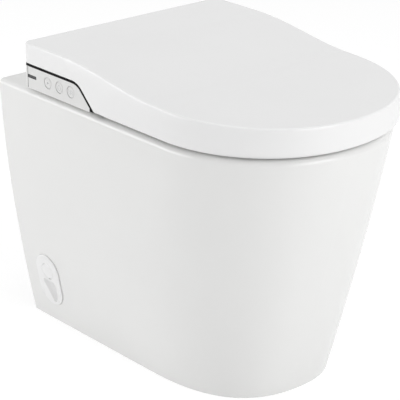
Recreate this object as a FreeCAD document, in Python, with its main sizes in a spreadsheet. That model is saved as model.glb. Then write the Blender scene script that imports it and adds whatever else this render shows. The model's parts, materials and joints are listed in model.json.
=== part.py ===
import FreeCAD, Part
import math
import os

import Sketcher
from FreeCAD import Rotation, Vector

# Back-to-wall smart toilet: a glazed china pan, a seat unit with a washing nozzle and a warm air
# dryer, a heated seat ring and a lid that covers the whole unit. Millimetres. +Z is up, the front is
# at -Y, the wall is at +Y, and the sitter's right hand (the control panel) is at -X. The origin is on
# the floor, under the middle of the whole object.

doc = FreeCAD.newDocument("heated_seat_toilet")

# ---------------------------------------------------------------- driving sizes

SIZES = [
    ("total_length", 594, "wall face to the lid's front"),
    ("lid_width", 385, "lid and housing, side to side"),
    ("china_inset", 5.5, "how far the china stays inside the lid, per side"),
    ("china_height", 406, "floor to the china's flat top"),
    ("side_taper", 53.5, "how far each side draws in from top to floor"),
    ("front_taper", 104.5, "how far the front draws in from top to floor"),
    ("side_taper_power", 1.6, "above 1 the sides curve inwards low down"),
    ("nose_top", 197, "length of the round front at the top"),
    ("nose_base", 179, "length of the round front at the floor"),
    ("nose_fullness", 0.584, "Bezier handle of the round front, at the top"),
    ("base_fullness", 0.685, "Bezier handle of the round front, at the floor"),
    ("china_wall", 11, "china thickness"),
    ("deck_thickness", 14, "china top"),
    ("rim_round", 8, "rounding of the china's top edge"),
    ("bowl_width", 270, "bowl opening"),
    ("bowl_from_wall", 222.5, "bowl opening's rear edge to the wall face"),
    ("bowl_rim", 50, "china top in front of the bowl opening"),
    ("sump_level", 150, "height of the trap's lowest bend"),
    ("crest_level", 258, "height of the trap's top bend"),
    ("trap_radius", 30, "bore of the trap"),
    ("outlet_level", 185, "height of the waste outlet"),
    ("outlet_radius", 51, "outside of the waste spigot"),
    ("outlet_wall", 7, "waste spigot"),
    ("outlet_setback", 10, "waste spigot's end to the wall face"),
    ("inlet_drop", 71, "china's top down to the flush inlet"),
    ("inlet_radius", 27.5, "bore of the flush inlet"),
    ("inlet_wall", 9, "china around the flush inlet"),
    ("seal_bore", 22.5, "flush pipe size"),
    ("cover_width", 59, "oval side cover"),
    ("cover_height", 91, "oval side cover"),
    ("cover_level", 76.5, "height of the oval cover's centre"),
    ("cover_from_wall", 62.5, "oval cover's centre to the wall face"),
    ("cover_thickness", 3.6, "oval side cover"),
    ("cover_seat", 1.6, "how deep the oval cover sits in the china"),
    ("cap_radius", 14, "round cap in the oval cover"),
    ("pocket_width", 34.5, "finger pocket in the oval cover"),
    ("pocket_height", 39, "finger pocket in the oval cover"),
    ("pocket_depth", 12, "finger pocket in the oval cover"),
    ("lid_setback", 72, "lid's rear face to the wall face"),
    ("lid_rear_rise", 77, "china's top to the lid's top over the housing"),
    ("lid_front_rise", 49, "china's top to the lid's top at the front"),
    ("lid_ramp_start", 172, "wall face to where the lid's top begins to fall"),
    ("lid_ramp_length", 200, "run of the lid's falling part"),
    ("lid_ramp_end_rise", 56.3, "china's top to the lid's top at the ramp's foot"),
    ("lid_edge_rise", 10, "china's top to the lid's lower edge beside the seat"),
    ("lid_wall", 4, "lid skirt and top"),
    ("lid_rear_wall", 3, "lid's rear wall"),
    ("lid_round", 3.5, "rounding of the lid's top edge"),
    ("lid_heel_round", 6, "rounding of the lid's lower rear edge"),
    ("corner_round", 12, "plan rounding of the rear corners"),
    ("panel_base_rise", 7.5, "china's top to the panel's lower edge"),
    ("panel_top_rise", 41.5, "china's top to the panel's top edge"),
    ("panel_wall", 2.5, "panel skin"),
    ("panel_width", 32.5, "side panel, inwards from the lid's outer face"),
    ("panel_front", 243, "panel's front tip to the wall face"),
    ("panel_tip", 6, "how far the panel's sharp tip is cut back for the rubber strip's foot"),
    ("panel_slope", 43.5, "degrees, the panel's front edge"),
    ("panel_bend", 28, "radius between the top and the front edge"),
    ("black_line", 3.5, "rubber strip on the panel's top edge"),
    ("lid_gap", 1, "lid edge to the rubber strip"),
    ("button_radius", 8.6, "round button"),
    ("button_gap", 0.5, "around a button"),
    ("button_travel", 0.8, "how far a button goes in"),
    ("button_pitch", 28.2, "button to button"),
    ("button_rise", 26.6, "china's top to the buttons"),
    ("button_from_wall", 135.3, "rear button to the wall face"),
    ("sensor_length", 20, "dark sensor bar"),
    ("sensor_height", 3.4, "dark sensor bar"),
    ("sensor_from_wall", 85, "rear end of the sensor bar to the wall face"),
    ("housing_top_rise", 61, "china's top to the top of the housing's tall part"),
    ("housing_floor_rise", 2, "china's top to the housing's underside"),
    ("housing_split_rise", 32, "china's top to where the housing's cover meets its base"),
    ("housing_wall", 2.5, "housing skin"),
    ("housing_front", 249, "housing's front to the wall face"),
    ("housing_step", 98, "rear of the tall part to the wall face"),
    ("step_rise", 42.5, "china's top to the top of the low part under the hinge"),
    ("hinge_from_edge", 10, "hinge axis in from the lid's rear and lower edges"),
    ("pin_radius", 3.5, "hinge pin"),
    ("boss_radius", 6.4, "round the hinge pin"),
    ("pin_gap", 0.05, "running clearance on the hinge pin"),
    ("damper_length", 34, "soft-close damper"),
    ("arm_gap", 11.5, "seat's arms at the hinge, in from the lid's outer face"),
    ("ring_gap", 3, "seat ring to the inside of the lid"),
    ("ring_base_rise", 5.5, "china's top to the seat ring's underside"),
    ("ring_top_rise", 37, "china's top to the seat ring's top"),
    ("ring_split_rise", 14, "china's top to where the upper seat half meets the lower"),
    ("ring_wall", 3, "seat halves"),
    ("ring_rear", 251, "rear of the seat ring to the wall face"),
    ("ring_round", 7, "rounding of the seat ring's top edges"),
    ("ring_corner", 14, "plan rounding of the ring's rear corners"),
    ("hole_width", 224, "seat opening"),
    ("hole_front", 63, "seat ring in front of the opening"),
    ("hole_rear", 23, "seat ring behind the opening"),
    ("wand_radius", 7, "nozzle tube"),
    ("wand_slope", 18, "degrees, nozzle tube"),
    ("wand_length", 163, "nozzle with its tip"),
    ("wand_travel", 105, "how far the nozzle comes out"),
    ("tip_radius", 8.5, "nozzle tip"),
    ("tip_length", 21, "nozzle tip"),
    ("tip_from_wall", 272, "nozzle tip to the wall face"),
    ("tip_drop", 4, "china's top down to the nozzle tip's axis"),
    ("gear_module", 1.25, "rack and pinion"),
    ("pinion_teeth", 12, "rack and pinion"),
    ("impeller_radius", 24, "dryer fan"),
    ("scroll_gap", 8, "fan to the outside of its housing"),
    ("scroll_height", 30, "fan housing"),
    ("duct_wall", 2, "fan housing and duct"),
    ("duct_width", 28, "air duct"),
    ("duct_height", 15, "air duct"),
    ("duct_offset", 27, "fan's axis to the duct's middle"),
    ("fan_from_side", 65, "fan's axis to the housing's side"),
    ("fan_from_front", 82, "fan's axis to the housing's front"),
    ("fitting_from_side", 50, "water inlet and cable gland to the housing's sides"),
    ("fitting_rise", 18, "water inlet and cable gland over the housing's underside"),
    ("tank_width", 104, "water tank, side to side"),
    ("pump_width", 42, "water pump without its motor"),
    ("hose_radius", 4, "supply hose"),
    ("board_width", 96, "main board, side to side"),
    ("board_depth", 92, "main board, front to back"),
    ("board_thickness", 1.6, "circuit boards"),
    ("board_from_side", 29, "main board and filter to the housing's side"),
    ("filter_width", 31, "deodoriser filter"),
    ("bolt_spacing", 155, "seat unit's fixing bolts"),
    ("bolt_from_wall", 147, "seat unit's fixing bolts to the wall face"),
    ("bolt_radius", 4, "fixing bolt"),
    ("bracket_spacing", 180, "floor bracket holes, side to side"),
    ("bracket_pitch", 40, "floor bracket holes, front to back"),
    ("thin_gap", 0.3, "between pieces that don't touch"),
]

PLACES = [
    ("inlet_level", "sizes.china_height - sizes.inlet_drop", "flush inlet's axis"),
    ("lid_rear_height", "sizes.china_height + sizes.lid_rear_rise", "lid top over the housing"),
    ("lid_front_height", "sizes.china_height + sizes.lid_front_rise", "lid top at the front edge"),
    ("lid_ramp_end_height", "sizes.china_height + sizes.lid_ramp_end_rise", "lid top at the ramp's foot"),
    ("lid_edge_height", "sizes.china_height + sizes.lid_edge_rise", "lid's lower edge beside the seat"),
    ("panel_base", "sizes.china_height + sizes.panel_base_rise", "panel's lower edge"),
    ("panel_top", "sizes.china_height + sizes.panel_top_rise", "panel's top edge"),
    ("button_level", "sizes.china_height + sizes.button_rise", "buttons and sensor bar"),
    ("housing_top", "sizes.china_height + sizes.housing_top_rise", "top of the housing's tall part"),
    ("housing_floor", "sizes.china_height + sizes.housing_floor_rise", "underside of the housing"),
    ("housing_split", "sizes.china_height + sizes.housing_split_rise", "cover meets base"),
    ("step_level", "sizes.china_height + sizes.step_rise", "top of the low part under the hinge"),
    ("ring_base", "sizes.china_height + sizes.ring_base_rise", "underside of the seat ring"),
    ("ring_top", "sizes.china_height + sizes.ring_top_rise", "top of the seat ring"),
    ("ring_split", "sizes.china_height + sizes.ring_split_rise", "upper seat half meets the lower"),
    ("tip_level", "sizes.china_height - sizes.tip_drop", "nozzle tip's axis"),
    ("wall_face", "sizes.total_length / 2", "the wall the pan stands against"),
    ("half_lid", "sizes.lid_width / 2", "lid's outer face"),
    ("half_china", "half_lid - sizes.china_inset", "china's outer face at the top"),
    ("lid_rear", "wall_face - sizes.lid_setback", "lid's rear face"),
    ("lid_front", "-sizes.total_length / 2", "lid's front"),
    ("china_front", "lid_front + sizes.china_inset", "china's front at the top"),
    ("lid_edge_rear", "panel_top + sizes.black_line + sizes.lid_gap", "lid edge over the panel"),
    ("hinge_y", "lid_rear - sizes.hinge_from_edge", "hinge axis"),
    ("hinge_z", "lid_edge_rear + sizes.hinge_from_edge", "hinge axis"),
    ("half_housing", "half_lid - sizes.panel_width", "housing's tall part"),
    ("housing_y0", "wall_face - sizes.housing_front", "housing's front"),
    ("housing_y1", "wall_face - sizes.housing_step", "rear of the tall part"),
    ("floor_top", "housing_floor + sizes.housing_wall", "housing's inner floor"),
    ("skin_x", "sizes.panel_wall - half_lid", "inside of the control panel's skin"),
    ("board_x", "skin_x + 12", "outer face of the button board"),
    ("tip_y", "wall_face - sizes.tip_from_wall", "nozzle tip"),
    ("bolt_y", "wall_face - sizes.bolt_from_wall", "fixing bolts"),
    ("cover_y", "wall_face - sizes.cover_from_wall", "oval cover"),
    ("cap_z", "sizes.cover_level + (sizes.cover_height - sizes.cover_width) / 2", "round cap"),
    ("pitch_radius", "sizes.gear_module * sizes.pinion_teeth / 2", "pinion"),
    ("bowl_length", "wall_face - sizes.bowl_from_wall - china_front - sizes.bowl_rim", "bowl opening"),
    ("bowl_y", "china_front + sizes.bowl_rim + bowl_length / 2", "bowl opening's centre"),
    ("ring_front", "lid_front + sizes.lid_wall + sizes.ring_gap", "seat ring's front"),
    ("ring_rear_y", "wall_face - sizes.ring_rear", "seat ring's rear"),
    ("hole_length", "ring_rear_y - sizes.hole_rear - ring_front - sizes.hole_front", "seat opening"),
    ("hole_y", "ring_front + sizes.hole_front + hole_length / 2", "seat opening's centre"),
    ("arm_outer", "half_lid - sizes.arm_gap", "outer side of the seat's arms at the hinge"),
    ("fan_x", "half_housing - sizes.fan_from_side", "fan's axis"),
    ("fan_y", "housing_y0 + sizes.fan_from_front", "fan's axis"),
    ("scroll_radius", "sizes.impeller_radius + sizes.scroll_gap", "outside of the fan's housing"),
    ("duct_left", "fan_x - sizes.duct_offset - sizes.duct_width / 2", "air duct's inner side"),
    ("duct_right", "duct_left + sizes.duct_width", "air duct's outer side"),
    ("duct_base", "floor_top + 0.5", "air duct's underside"),
    ("duct_top", "duct_base + sizes.duct_height", "air duct's top"),
    ("fitting_x", "half_housing - sizes.fitting_from_side", "water inlet, and the cable gland opposite"),
    ("fitting_z", "housing_floor + sizes.fitting_rise", "water inlet and cable gland"),
    ("board_right", "half_housing - sizes.board_from_side", "main board's and filter's outer side"),
    ("board_left", "board_right - sizes.board_width", "main board's inner side"),
    ("board_z", "housing_split + 12", "main board's underside"),
]


def fill_sheet(name, rows, sign):
    sheet = doc.addObject("Spreadsheet::Sheet", name)
    for row, (alias, number, meaning) in enumerate(rows, 1):
        sheet.set(f"A{row}", meaning)
        sheet.set(f"B{row}", f"{sign}{number}")
        sheet.setAlias(f"B{row}", alias)
    return sheet


sizes = fill_sheet("sizes", SIZES, "")
places = fill_sheet("places", PLACES, "=")
doc.recompute()


def value(name):
    sheet = places if any(name == row[0] for row in PLACES) else sizes
    return float(sheet.get(name))


# ---------------------------------------------------------------- document helpers

SUBPARTS = []


def subpart(node, item):
    item.Label = node
    SUBPARTS.append(item)
    return item


def bind(item, formulas):
    for name, formula in formulas.items():
        item.setExpression(name, str(formula))
    return item


def put(item, x, y, z, turn=None):
    if turn is not None:
        item.Placement = FreeCAD.Placement(Vector(), turn)
    places_of = {"Placement.Base.x": x, "Placement.Base.y": y, "Placement.Base.z": z}
    return bind(item, places_of)


def block(x, y, z):
    """A box between two formulas on each axis."""
    item = doc.addObject("Part::Box", "block")
    spans = {"Length": x, "Width": y, "Height": z}
    bind(item, {name: f"({high}) - ({low})" for name, (low, high) in spans.items()})
    return put(item, x[0], y[0], z[0])


TURNS = {
    "x": Rotation(Vector(0, 1, 0), 90),
    "y": Rotation(Vector(1, 0, 0), -90),
    "z": Rotation(),
}


def rod(radius, length, x, y, z, along="z"):
    """A cylinder from a point, along an axis."""
    item = doc.addObject("Part::Cylinder", "rod")
    bind(item, {"Radius": radius, "Height": length})
    return put(item, x, y, z, TURNS[along])


def joined(*items):
    item = doc.addObject("Part::MultiFuse", "joined")
    item.Shapes = list(items)
    return item


def carved(base, *tools):
    item = doc.addObject("Part::Cut", "carved")
    item.Base = base
    item.Tool = tools[0] if len(tools) == 1 else joined(*tools)
    return item


def mirrored(item):
    """The same piece on the other side of the object."""
    other = doc.addObject("Part::Mirroring", "mirrored")
    other.Source = item
    other.Normal = Vector(1, 0, 0)
    return other


def group(*items):
    item = doc.addObject("Part::Compound", "group")
    item.Links = list(items)
    return item


def pair(item):
    return group(item, mirrored(item))


def solid_piece(shape):
    item = doc.addObject("Part::Feature", "piece")
    item.Shape = shape
    item.Placement = FreeCAD.Placement()
    return item


# ---------------------------------------------------------------- sketched bodies


def new_body(name):
    return doc.addObject("PartDesign::Body", name)


def sketch_on(body, plane, offset="0"):
    sketch = body.newObject("Sketcher::SketchObject", body.Name + "_sketch")
    face = next(item for item in body.Origin.OriginFeatures if item.Role == plane)
    sketch.AttachmentSupport = [(face, "")]
    sketch.MapMode = "FlatFace"
    sketch.setExpression("AttachmentOffset.Base.z", offset)
    return sketch


def constrain(sketch, kind, where, formula):
    number = sketch.addConstraint(Sketcher.Constraint(kind, *where, 1.0))
    sketch.setExpression(f"Constraints[{number}]", str(formula))


def fix_point(sketch, line, end, x, y):
    """Holds a point by its two distances from the sketch's origin."""
    constrain(sketch, "DistanceX", (-1, 1, line, end), x)
    constrain(sketch, "DistanceY", (-1, 1, line, end), y)


def draw_polygon(sketch, points):
    count = len(points)
    start = [Vector(math.cos(i * math.tau / count), math.sin(i * math.tau / count)) for i in range(count)]
    first = sketch.GeometryCount
    for i in range(count):
        sketch.addGeometry(Part.LineSegment(start[i], start[(i + 1) % count]))
    for i in range(count):
        sketch.addConstraint(Sketcher.Constraint("Coincident", first + i, 2, first + (i + 1) % count, 1))
    for i, (x, y) in enumerate(points):
        fix_point(sketch, first + i, 1, x, y)


def draw_circle(sketch, x, y, radius):
    circle = sketch.addGeometry(Part.Circle(Vector(1, 1), Vector(0, 0, 1), 1))
    constrain(sketch, "Radius", (circle,), radius)
    fix_point(sketch, circle, 3, x, y)


def pad(body, sketch, length):
    feature = body.newObject("PartDesign::Pad", "pad")
    feature.Profile = sketch
    feature.setExpression("Length", length)
    sketch.Visibility = False
    body.Tip = feature
    return feature


def revolve(body, sketch, axis):
    feature = body.newObject("PartDesign::Revolution", "revolution")
    feature.Profile = sketch
    feature.ReferenceAxis = (sketch, [axis])
    feature.Angle = 360
    body.Tip = feature
    return feature


def turned_piece(name, profile, x, y, z, turn=None):
    """A turned piece from its half section: radius and height pairs about its own Z axis."""
    body = new_body(name)
    sketch = sketch_on(body, "XZ_Plane")
    draw_polygon(sketch, profile)
    revolve(body, sketch, "V_Axis")
    put(body, x, y, z, turn)
    return body


def round_pattern(body, feature, count):
    pattern = body.newObject("PartDesign::PolarPattern", "pattern")
    pattern.Originals = [feature]
    axis = next(item for item in body.Origin.OriginFeatures if item.Role == "Z_Axis")
    pattern.Axis = (axis, [""])
    pattern.Angle = 360
    pattern.setExpression("Occurrences", count)
    body.Tip = pattern
    return pattern


# ---------------------------------------------------------------- plan outlines


def plan_outline(half_width, front, rear, nose, fullness, level, corner=0.0):
    """A D seen from above: straight back and sides, and a round front."""
    shoulder = front + nose
    handle = nose * (1 - fullness)
    left = [
        Vector(-half_width, shoulder, level),
        Vector(-half_width, front + handle, level),
        Vector(-half_width * fullness, front, level),
        Vector(0, front, level),
    ]
    right = [Vector(-p.x, p.y, p.z) for p in reversed(left)]
    edges = []
    if corner:
        slant = corner * (1 - math.sqrt(0.5))
        for side in (-1, 1):
            start = Vector(side * half_width, rear - corner, level)
            middle = Vector(side * (half_width - slant), rear - slant, level)
            end = Vector(side * (half_width - corner), rear, level)
            edges.append(Part.Arc(start, middle, end).toShape())
    side_end = rear - corner
    back = half_width - corner
    edges.append(Part.makeLine(Vector(-half_width, side_end, level), left[0]))
    for poles in (left, right):
        curve = Part.BezierCurve()
        curve.setPoles(poles)
        edges.append(curve.toShape())
    edges.append(Part.makeLine(right[-1], Vector(half_width, side_end, level)))
    edges.append(Part.makeLine(Vector(back, rear, level), Vector(-back, rear, level)))
    return Part.Wire(Part.__sortEdges__(edges))


def ellipse_wire(centre, half_x, half_y):
    along_x = Vector(half_x, 0, 0)
    along_y = Vector(0, half_y, 0)
    major, minor = (along_y, along_x) if half_y >= half_x else (along_x, along_y)
    return Part.Wire([Part.Ellipse(centre + major, centre + minor, centre).toShape()])


def prism(wire, height):
    return Part.Face(wire).extrude(Vector(0, 0, height))


def side_face(points):
    """A flat face in the YZ plane, from corner points."""
    corners = [Vector(0, y, z) for y, z in points]
    return Part.Face(Part.makePolygon(corners + corners[:1]))


def across(face, low, high):
    """Extrudes a YZ face from one X to another."""
    moved = face.copy()
    moved.translate(Vector(low, 0, 0))
    return moved.extrude(Vector(high - low, 0, 0))


WIDE = value("lid_width")


# ---------------------------------------------------------------- china pan


def china_section(level, inset, rear):
    """The pan's outline at one height, drawn in by an inset."""
    rise = level / value("china_height")
    low = 1 - rise
    half = value("half_china") - value("side_taper") * low ** value("side_taper_power")
    front = value("china_front") + value("front_taper") * low
    nose = value("nose_base") + (value("nose_top") - value("nose_base")) * rise
    fullness = value("base_fullness") + (value("nose_fullness") - value("base_fullness")) * rise
    return plan_outline(half - inset, front + inset, rear, nose - inset, fullness, level)


def china_loft(levels, inset, rear):
    return Part.makeLoft([china_section(level, inset, rear) for level in levels], True, False)


def china_half_width(level):
    low = 1 - level / value("china_height")
    return value("half_china") - value("side_taper") * low ** value("side_taper_power")


BOWL_FLOOR = value("sump_level") - 8
# the bowl's levels: share of the drop, of the half width and of the half length, shift towards the wall
BOWL_STATIONS = [
    (-0.02, 1.0, 1.0, 0.0), (0.12, 0.99, 0.985, 0.0), (0.4, 0.82, 0.80, 0.08),
    (0.68, 0.5, 0.5, 0.32), (0.88, 0.3, 0.31, 0.48), (1.0, 0.22, 0.2, 0.5),
]


def bowl_loft(inset):
    """The bowl's inside, or its outside with a negative inset."""
    top = value("china_height")
    half = value("bowl_width") / 2
    reach = value("bowl_length") / 2
    wires = []
    for down, wide, long, shift in BOWL_STATIONS:
        level = top - (top - BOWL_FLOOR) * down + (inset if down > 0.9 else 0)
        centre = Vector(0, value("bowl_y") + shift * reach, level)
        wires.append(ellipse_wire(centre, wide * half - inset, long * reach - inset))
    return Part.makeLoft(wires, True, False)


def trap_pipe(radius, start_extra=0.0):
    """The S bend: from the sump, down under the lip, over the crest and out to the wall."""
    sump = value("sump_level")
    crest = value("crest_level")
    outlet = value("outlet_level")
    bend = value("trap_radius") + value("china_wall") + 2
    wall = value("wall_face")
    bowl_floor_y = value("bowl_y") + BOWL_STATIONS[-1][3] * value("bowl_length") / 2
    points = [
        Vector(0, bowl_floor_y - 5.5 - start_extra, sump + 12),
        Vector(0, wall - 222, sump),
        Vector(0, wall - 160, crest),
        Vector(0, wall - 98, crest),
        Vector(0, wall - 74, outlet),
        Vector(0, wall - value("outlet_setback") - 6, outlet),
    ]
    edges = []
    here = points[0]
    for before, corner, after in zip(points, points[1:], points[2:]):
        into = (corner - before).normalize()
        out = (after - corner).normalize()
        turn = math.acos(max(-1.0, min(1.0, into.dot(out))))
        reach = bend * math.tan(turn / 2)
        start = corner - into * reach
        end = corner + out * reach
        bisector = (out - into).normalize()
        centre = corner + bisector * (bend / math.cos(turn / 2))
        edges.append(Part.makeLine(here, start))
        edges.append(Part.Arc(start, centre - bisector * bend, end).toShape())
        here = end
    edges.append(Part.makeLine(here, points[-1]))
    path = Part.Wire(edges)
    direction = (points[1] - points[0]).normalize()
    ring = Part.Wire([Part.makeCircle(radius, points[0], direction)])
    return path.makePipeShell([ring], True, False)


def cover_placement():
    """The oval cover's own frame: X along the wall side, Y up the china, Z out of it."""
    level = value("cover_level")
    step = 1.0
    lean = math.atan((china_half_width(level + step) - china_half_width(level - step)) / (2 * step))
    up = Vector(-math.sin(lean), 0, math.cos(lean))
    out = Vector(-math.cos(lean), 0, -math.sin(lean))
    base = Vector(-china_half_width(level), value("cover_y"), level) - out * value("cover_seat")
    return FreeCAD.Placement(base, Rotation(up.cross(out), up, out, "ZXY"))


def stadium(width, height, low, high):
    """An upright oval block in the cover's own frame."""
    radius = width / 2
    half = (height - width) / 2
    middle = Part.makeBox(width, 2 * half, high - low, Vector(-radius, -half, low))
    ends = [Part.makeCylinder(radius, high - low, Vector(0, y, low)) for y in (-half, half)]
    return middle.fuse(ends).removeSplitter()


POCKET_INSET = 5.5
POCKET_CORNER = 8


def pocket_block(grow, low, high):
    """The finger pocket's U, with a rounded top and a round foot, in the cover's own frame."""
    radius = value("pocket_width") / 2 + grow
    bottom = -value("cover_height") / 2 + POCKET_INSET + value("pocket_width") / 2
    top = bottom + value("pocket_height") - value("pocket_width") / 2 + grow
    upper = Part.makeBox(2 * radius, top - bottom, high - low, Vector(-radius, bottom, low))
    lower = Part.makeCylinder(radius, high - low, Vector(0, bottom, low))
    whole = upper.fuse(lower).removeSplitter()
    uprights = [e for e in whole.Edges if e.BoundBox.ZLength > high - low - 0.01]
    corners = [e for e in uprights if e.BoundBox.YMin > top - 0.01]
    return whole.makeFillet(POCKET_CORNER + grow, corners)


def both_sides(shape):
    return [shape, shape.mirror(Vector(), Vector(1, 0, 0))]


NECK_SETBACK = 30
SPIGOT_LENGTH = 34
# fixing screw in the china's side, under the oval cover's cap
HEAD_RADIUS = 7.5
HEAD_HEIGHT = 3.4
HEAD_DEPTH = 6.5
SHANK_RADIUS = 3
SHANK_LENGTH = 36


def pipe_to_wall(radius, start, end, level):
    return Part.makeCylinder(radius, end - start, Vector(0, start, level), Vector(0, 1, 0))


def make_pan():
    top = value("china_height")
    wall = value("wall_face")
    thick = value("china_wall")
    levels = [top * share for share in (0, 0.2, 0.45, 0.72, 1)]
    outer = china_loft(levels, 0, wall + 20)
    outer = outer.common(Part.makeBox(WIDE, 2 * wall, top, Vector(-WIDE / 2, -wall, 0)))
    rim = [
        edge
        for edge in outer.Edges
        if all(abs(v.Z - top) < 0.01 for v in edge.Vertexes) and edge.CenterOfMass.y < wall - 1
    ]
    outer = outer.makeFillet(value("rim_round"), rim)
    ceiling = top - value("deck_thickness")
    hollow = china_loft(levels, thick, wall + 30)
    hollow = hollow.common(Part.makeBox(WIDE, 3 * wall, ceiling, Vector(-WIDE / 2, -wall, 0)))
    pan = outer.cut(hollow)
    bowl_skin = bowl_loft(-thick).common(outer)
    trap = trap_pipe(value("trap_radius") + thick)
    neck_start = wall - value("bowl_from_wall") - 20
    neck_end = wall - NECK_SETBACK
    spigot_end = wall - value("outlet_setback")
    inlet = value("inlet_level")
    outlet = value("outlet_level")
    neck = pipe_to_wall(value("inlet_radius") + value("inlet_wall"), neck_start, neck_end, inlet)
    spigot = pipe_to_wall(value("outlet_radius"), spigot_end - SPIGOT_LENGTH, spigot_end, outlet)
    pan = pan.fuse([bowl_skin, trap, neck, spigot])
    bowl = bowl_loft(0)
    bore = trap_pipe(value("trap_radius"), 20)
    flush = pipe_to_wall(value("inlet_radius"), neck_start - 20, neck_end + 10, inlet)
    socket_radius = value("outlet_radius") - value("outlet_wall")
    socket = pipe_to_wall(socket_radius, spigot_end - SPIGOT_LENGTH + 10, spigot_end + 16, outlet)
    tools = [bowl, bore, flush, socket]
    for x in (-1, 1):
        centre = Vector(x * value("bolt_spacing") / 2, value("bolt_y"), ceiling - 20)
        tools.append(Part.makeCylinder(value("bolt_radius") + 3.5, 60, centre))
    frame = cover_placement()
    seat = stadium(value("cover_width") + 0.6, value("cover_height") + 0.6, 0, 30)
    window = pocket_block(3.2, -40, 5)
    for tool in (seat, window):
        tool.Placement = frame
        tools.extend(both_sides(tool))
    side_x = -china_half_width(value("cap_z"))
    for radius, depth in ((HEAD_RADIUS + 1.5, HEAD_DEPTH), (SHANK_RADIUS + 1.2, 40)):
        end = Vector(side_x + depth, value("cover_y"), value("cap_z"))
        tools.extend(both_sides(Part.makeCylinder(radius, 80, end, Vector(-1, 0, 0))))
    return pan.cut(tools)


ceramic_pan = subpart("ceramic_pan", solid_piece(make_pan()))


# ---------------------------------------------------------------- pan fixings and covers


CAP_SEAT = 1.8
POCKET_SKIN = 1.6


def make_side_cover():
    """Oval cover with a seat for the round cap and a scooped finger pocket."""
    thick = value("cover_thickness")
    plate = stadium(value("cover_width"), value("cover_height"), 0, thick)
    front = [edge for edge in plate.Edges if all(abs(v.Z - thick) < 0.01 for v in edge.Vertexes)]
    plate = plate.makeFillet(1.2, front)
    depth = value("pocket_depth")
    height = value("pocket_height")
    bottom = -value("cover_height") / 2 + POCKET_INSET
    # the pocket's floor is part of a round scoop: deepest at the upper front corner, it rises to the rear
    along = Vector(0.49, -0.87, 0)
    reach = 0.87 * value("pocket_width")
    scoop = (depth**2 + reach**2) / (2 * depth)
    deepest = Vector(value("pocket_width") / 2, bottom + height, thick - depth + scoop)
    scoop_line = (4 * height, deepest - along * 2 * height, along)
    inner = pocket_block(0, -40, thick + 1)
    inner = inner.common(Part.makeCylinder(scoop, *scoop_line))
    outer = pocket_block(POCKET_SKIN, -40, thick - 1)
    outer = outer.common(Part.makeCylinder(scoop + POCKET_SKIN, *scoop_line))
    cap_y = (value("cover_height") - value("cover_width")) / 2
    cap_hole = Part.makeCylinder(value("cap_radius") + 0.15, thick, Vector(0, cap_y, thick - CAP_SEAT))
    screw_hole = Part.makeCylinder(8.2, thick * 2, Vector(0, cap_y, -thick))
    cover = plate.fuse(outer).cut([inner, cap_hole, screw_hole])
    cover.Placement = cover_placement()
    return cover.removeSplitter()


cover_right = subpart("side_cover_right", solid_piece(make_side_cover()))
cover_left = subpart("side_cover_left", mirrored(cover_right))

cap_frame = cover_placement()
cap_rise = (value("cover_height") - value("cover_width")) / 2
cap_spot = cap_frame.multVec(Vector(0, cap_rise, value("cover_thickness") - CAP_SEAT))
CAP_R = "sizes.cap_radius"
cap = turned_piece(
    "cap", [("0", "0"), (CAP_R, "0"), (CAP_R, "1.4"), (f"{CAP_R} - 0.8", "2"), ("0", "2")],
    cap_spot.x, cap_spot.y, cap_spot.z, cap_frame.Rotation,
)
subpart("side_cover_caps", pair(cap))

# fixing screw: head in the china's counterbore, thread in the floor bracket
SCREW_X = -china_half_width(value("cap_z")) + HEAD_DEPTH
screw = turned_piece(
    "fixing_screw",
    [
        ("0", -HEAD_HEIGHT), (HEAD_RADIUS, -HEAD_HEIGHT), (HEAD_RADIUS, "0"), (SHANK_RADIUS, "0"),
        (SHANK_RADIUS, SHANK_LENGTH), ("0", SHANK_LENGTH),
    ],
    SCREW_X, "places.cover_y", "places.cap_z",
    Rotation(Vector(0, 1, 0), 90),
)
subpart("side_fixing_screws", pair(screw))

# floor bracket: foot, leg and a spacer tube that meets the china's inner face
BRACKET_X = "sizes.bracket_spacing / 2"
BRACKET_METAL = 4
LEG_X = SCREW_X + SHANK_LENGTH - BRACKET_METAL - 1
foot = block(
    (LEG_X, f"14 - {BRACKET_X}"),
    ("places.cover_y - sizes.bracket_pitch / 2 - 12", "places.cover_y + sizes.bracket_pitch / 2 + 12"),
    ("0", BRACKET_METAL),
)
leg = block(
    (LEG_X, LEG_X + BRACKET_METAL),
    ("places.cover_y - 16", "places.cover_y + 16"),
    ("0", "places.cap_z + 14"),
)
inner_face_x = -china_half_width(value("cap_z") - 9) + value("china_wall") / math.cos(0.19)
spacer_reach = LEG_X - inner_face_x - value("thin_gap")
spacer = rod("8", spacer_reach, LEG_X - spacer_reach, "places.cover_y", "places.cap_z", "x")
foot_holes = [
    rod("4.5", "20", f"-{BRACKET_X}", f"places.cover_y + {side} * sizes.bracket_pitch / 2", "-5")
    for side in (-1, 1)
]
thread_hole = rod(SHANK_RADIUS + 0.05, "60", LEG_X - 30, "places.cover_y", "places.cap_z", "x")
bracket = carved(joined(foot, leg, spacer), *foot_holes, thread_hole)
bracket_right = subpart("floor_bracket_right", bracket)
subpart("floor_bracket_left", mirrored(bracket_right))

# rubber cone that seals the flush pipe in the china's inlet
seal = turned_piece(
    "seal",
    [
        ("sizes.seal_bore", "-22"), ("sizes.inlet_radius - 0.05", "-22"), ("sizes.inlet_radius - 0.05", "0"),
        ("sizes.inlet_radius + 5", "0"), ("sizes.inlet_radius + 5", "4"), ("sizes.seal_bore", "4"),
    ],
    "0", f"places.wall_face - {NECK_SETBACK}", "places.inlet_level",
    Rotation(Vector(1, 0, 0), -90),
)
subpart("flush_inlet_seal", seal)

# ---------------------------------------------------------------- seat unit's mounting

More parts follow.
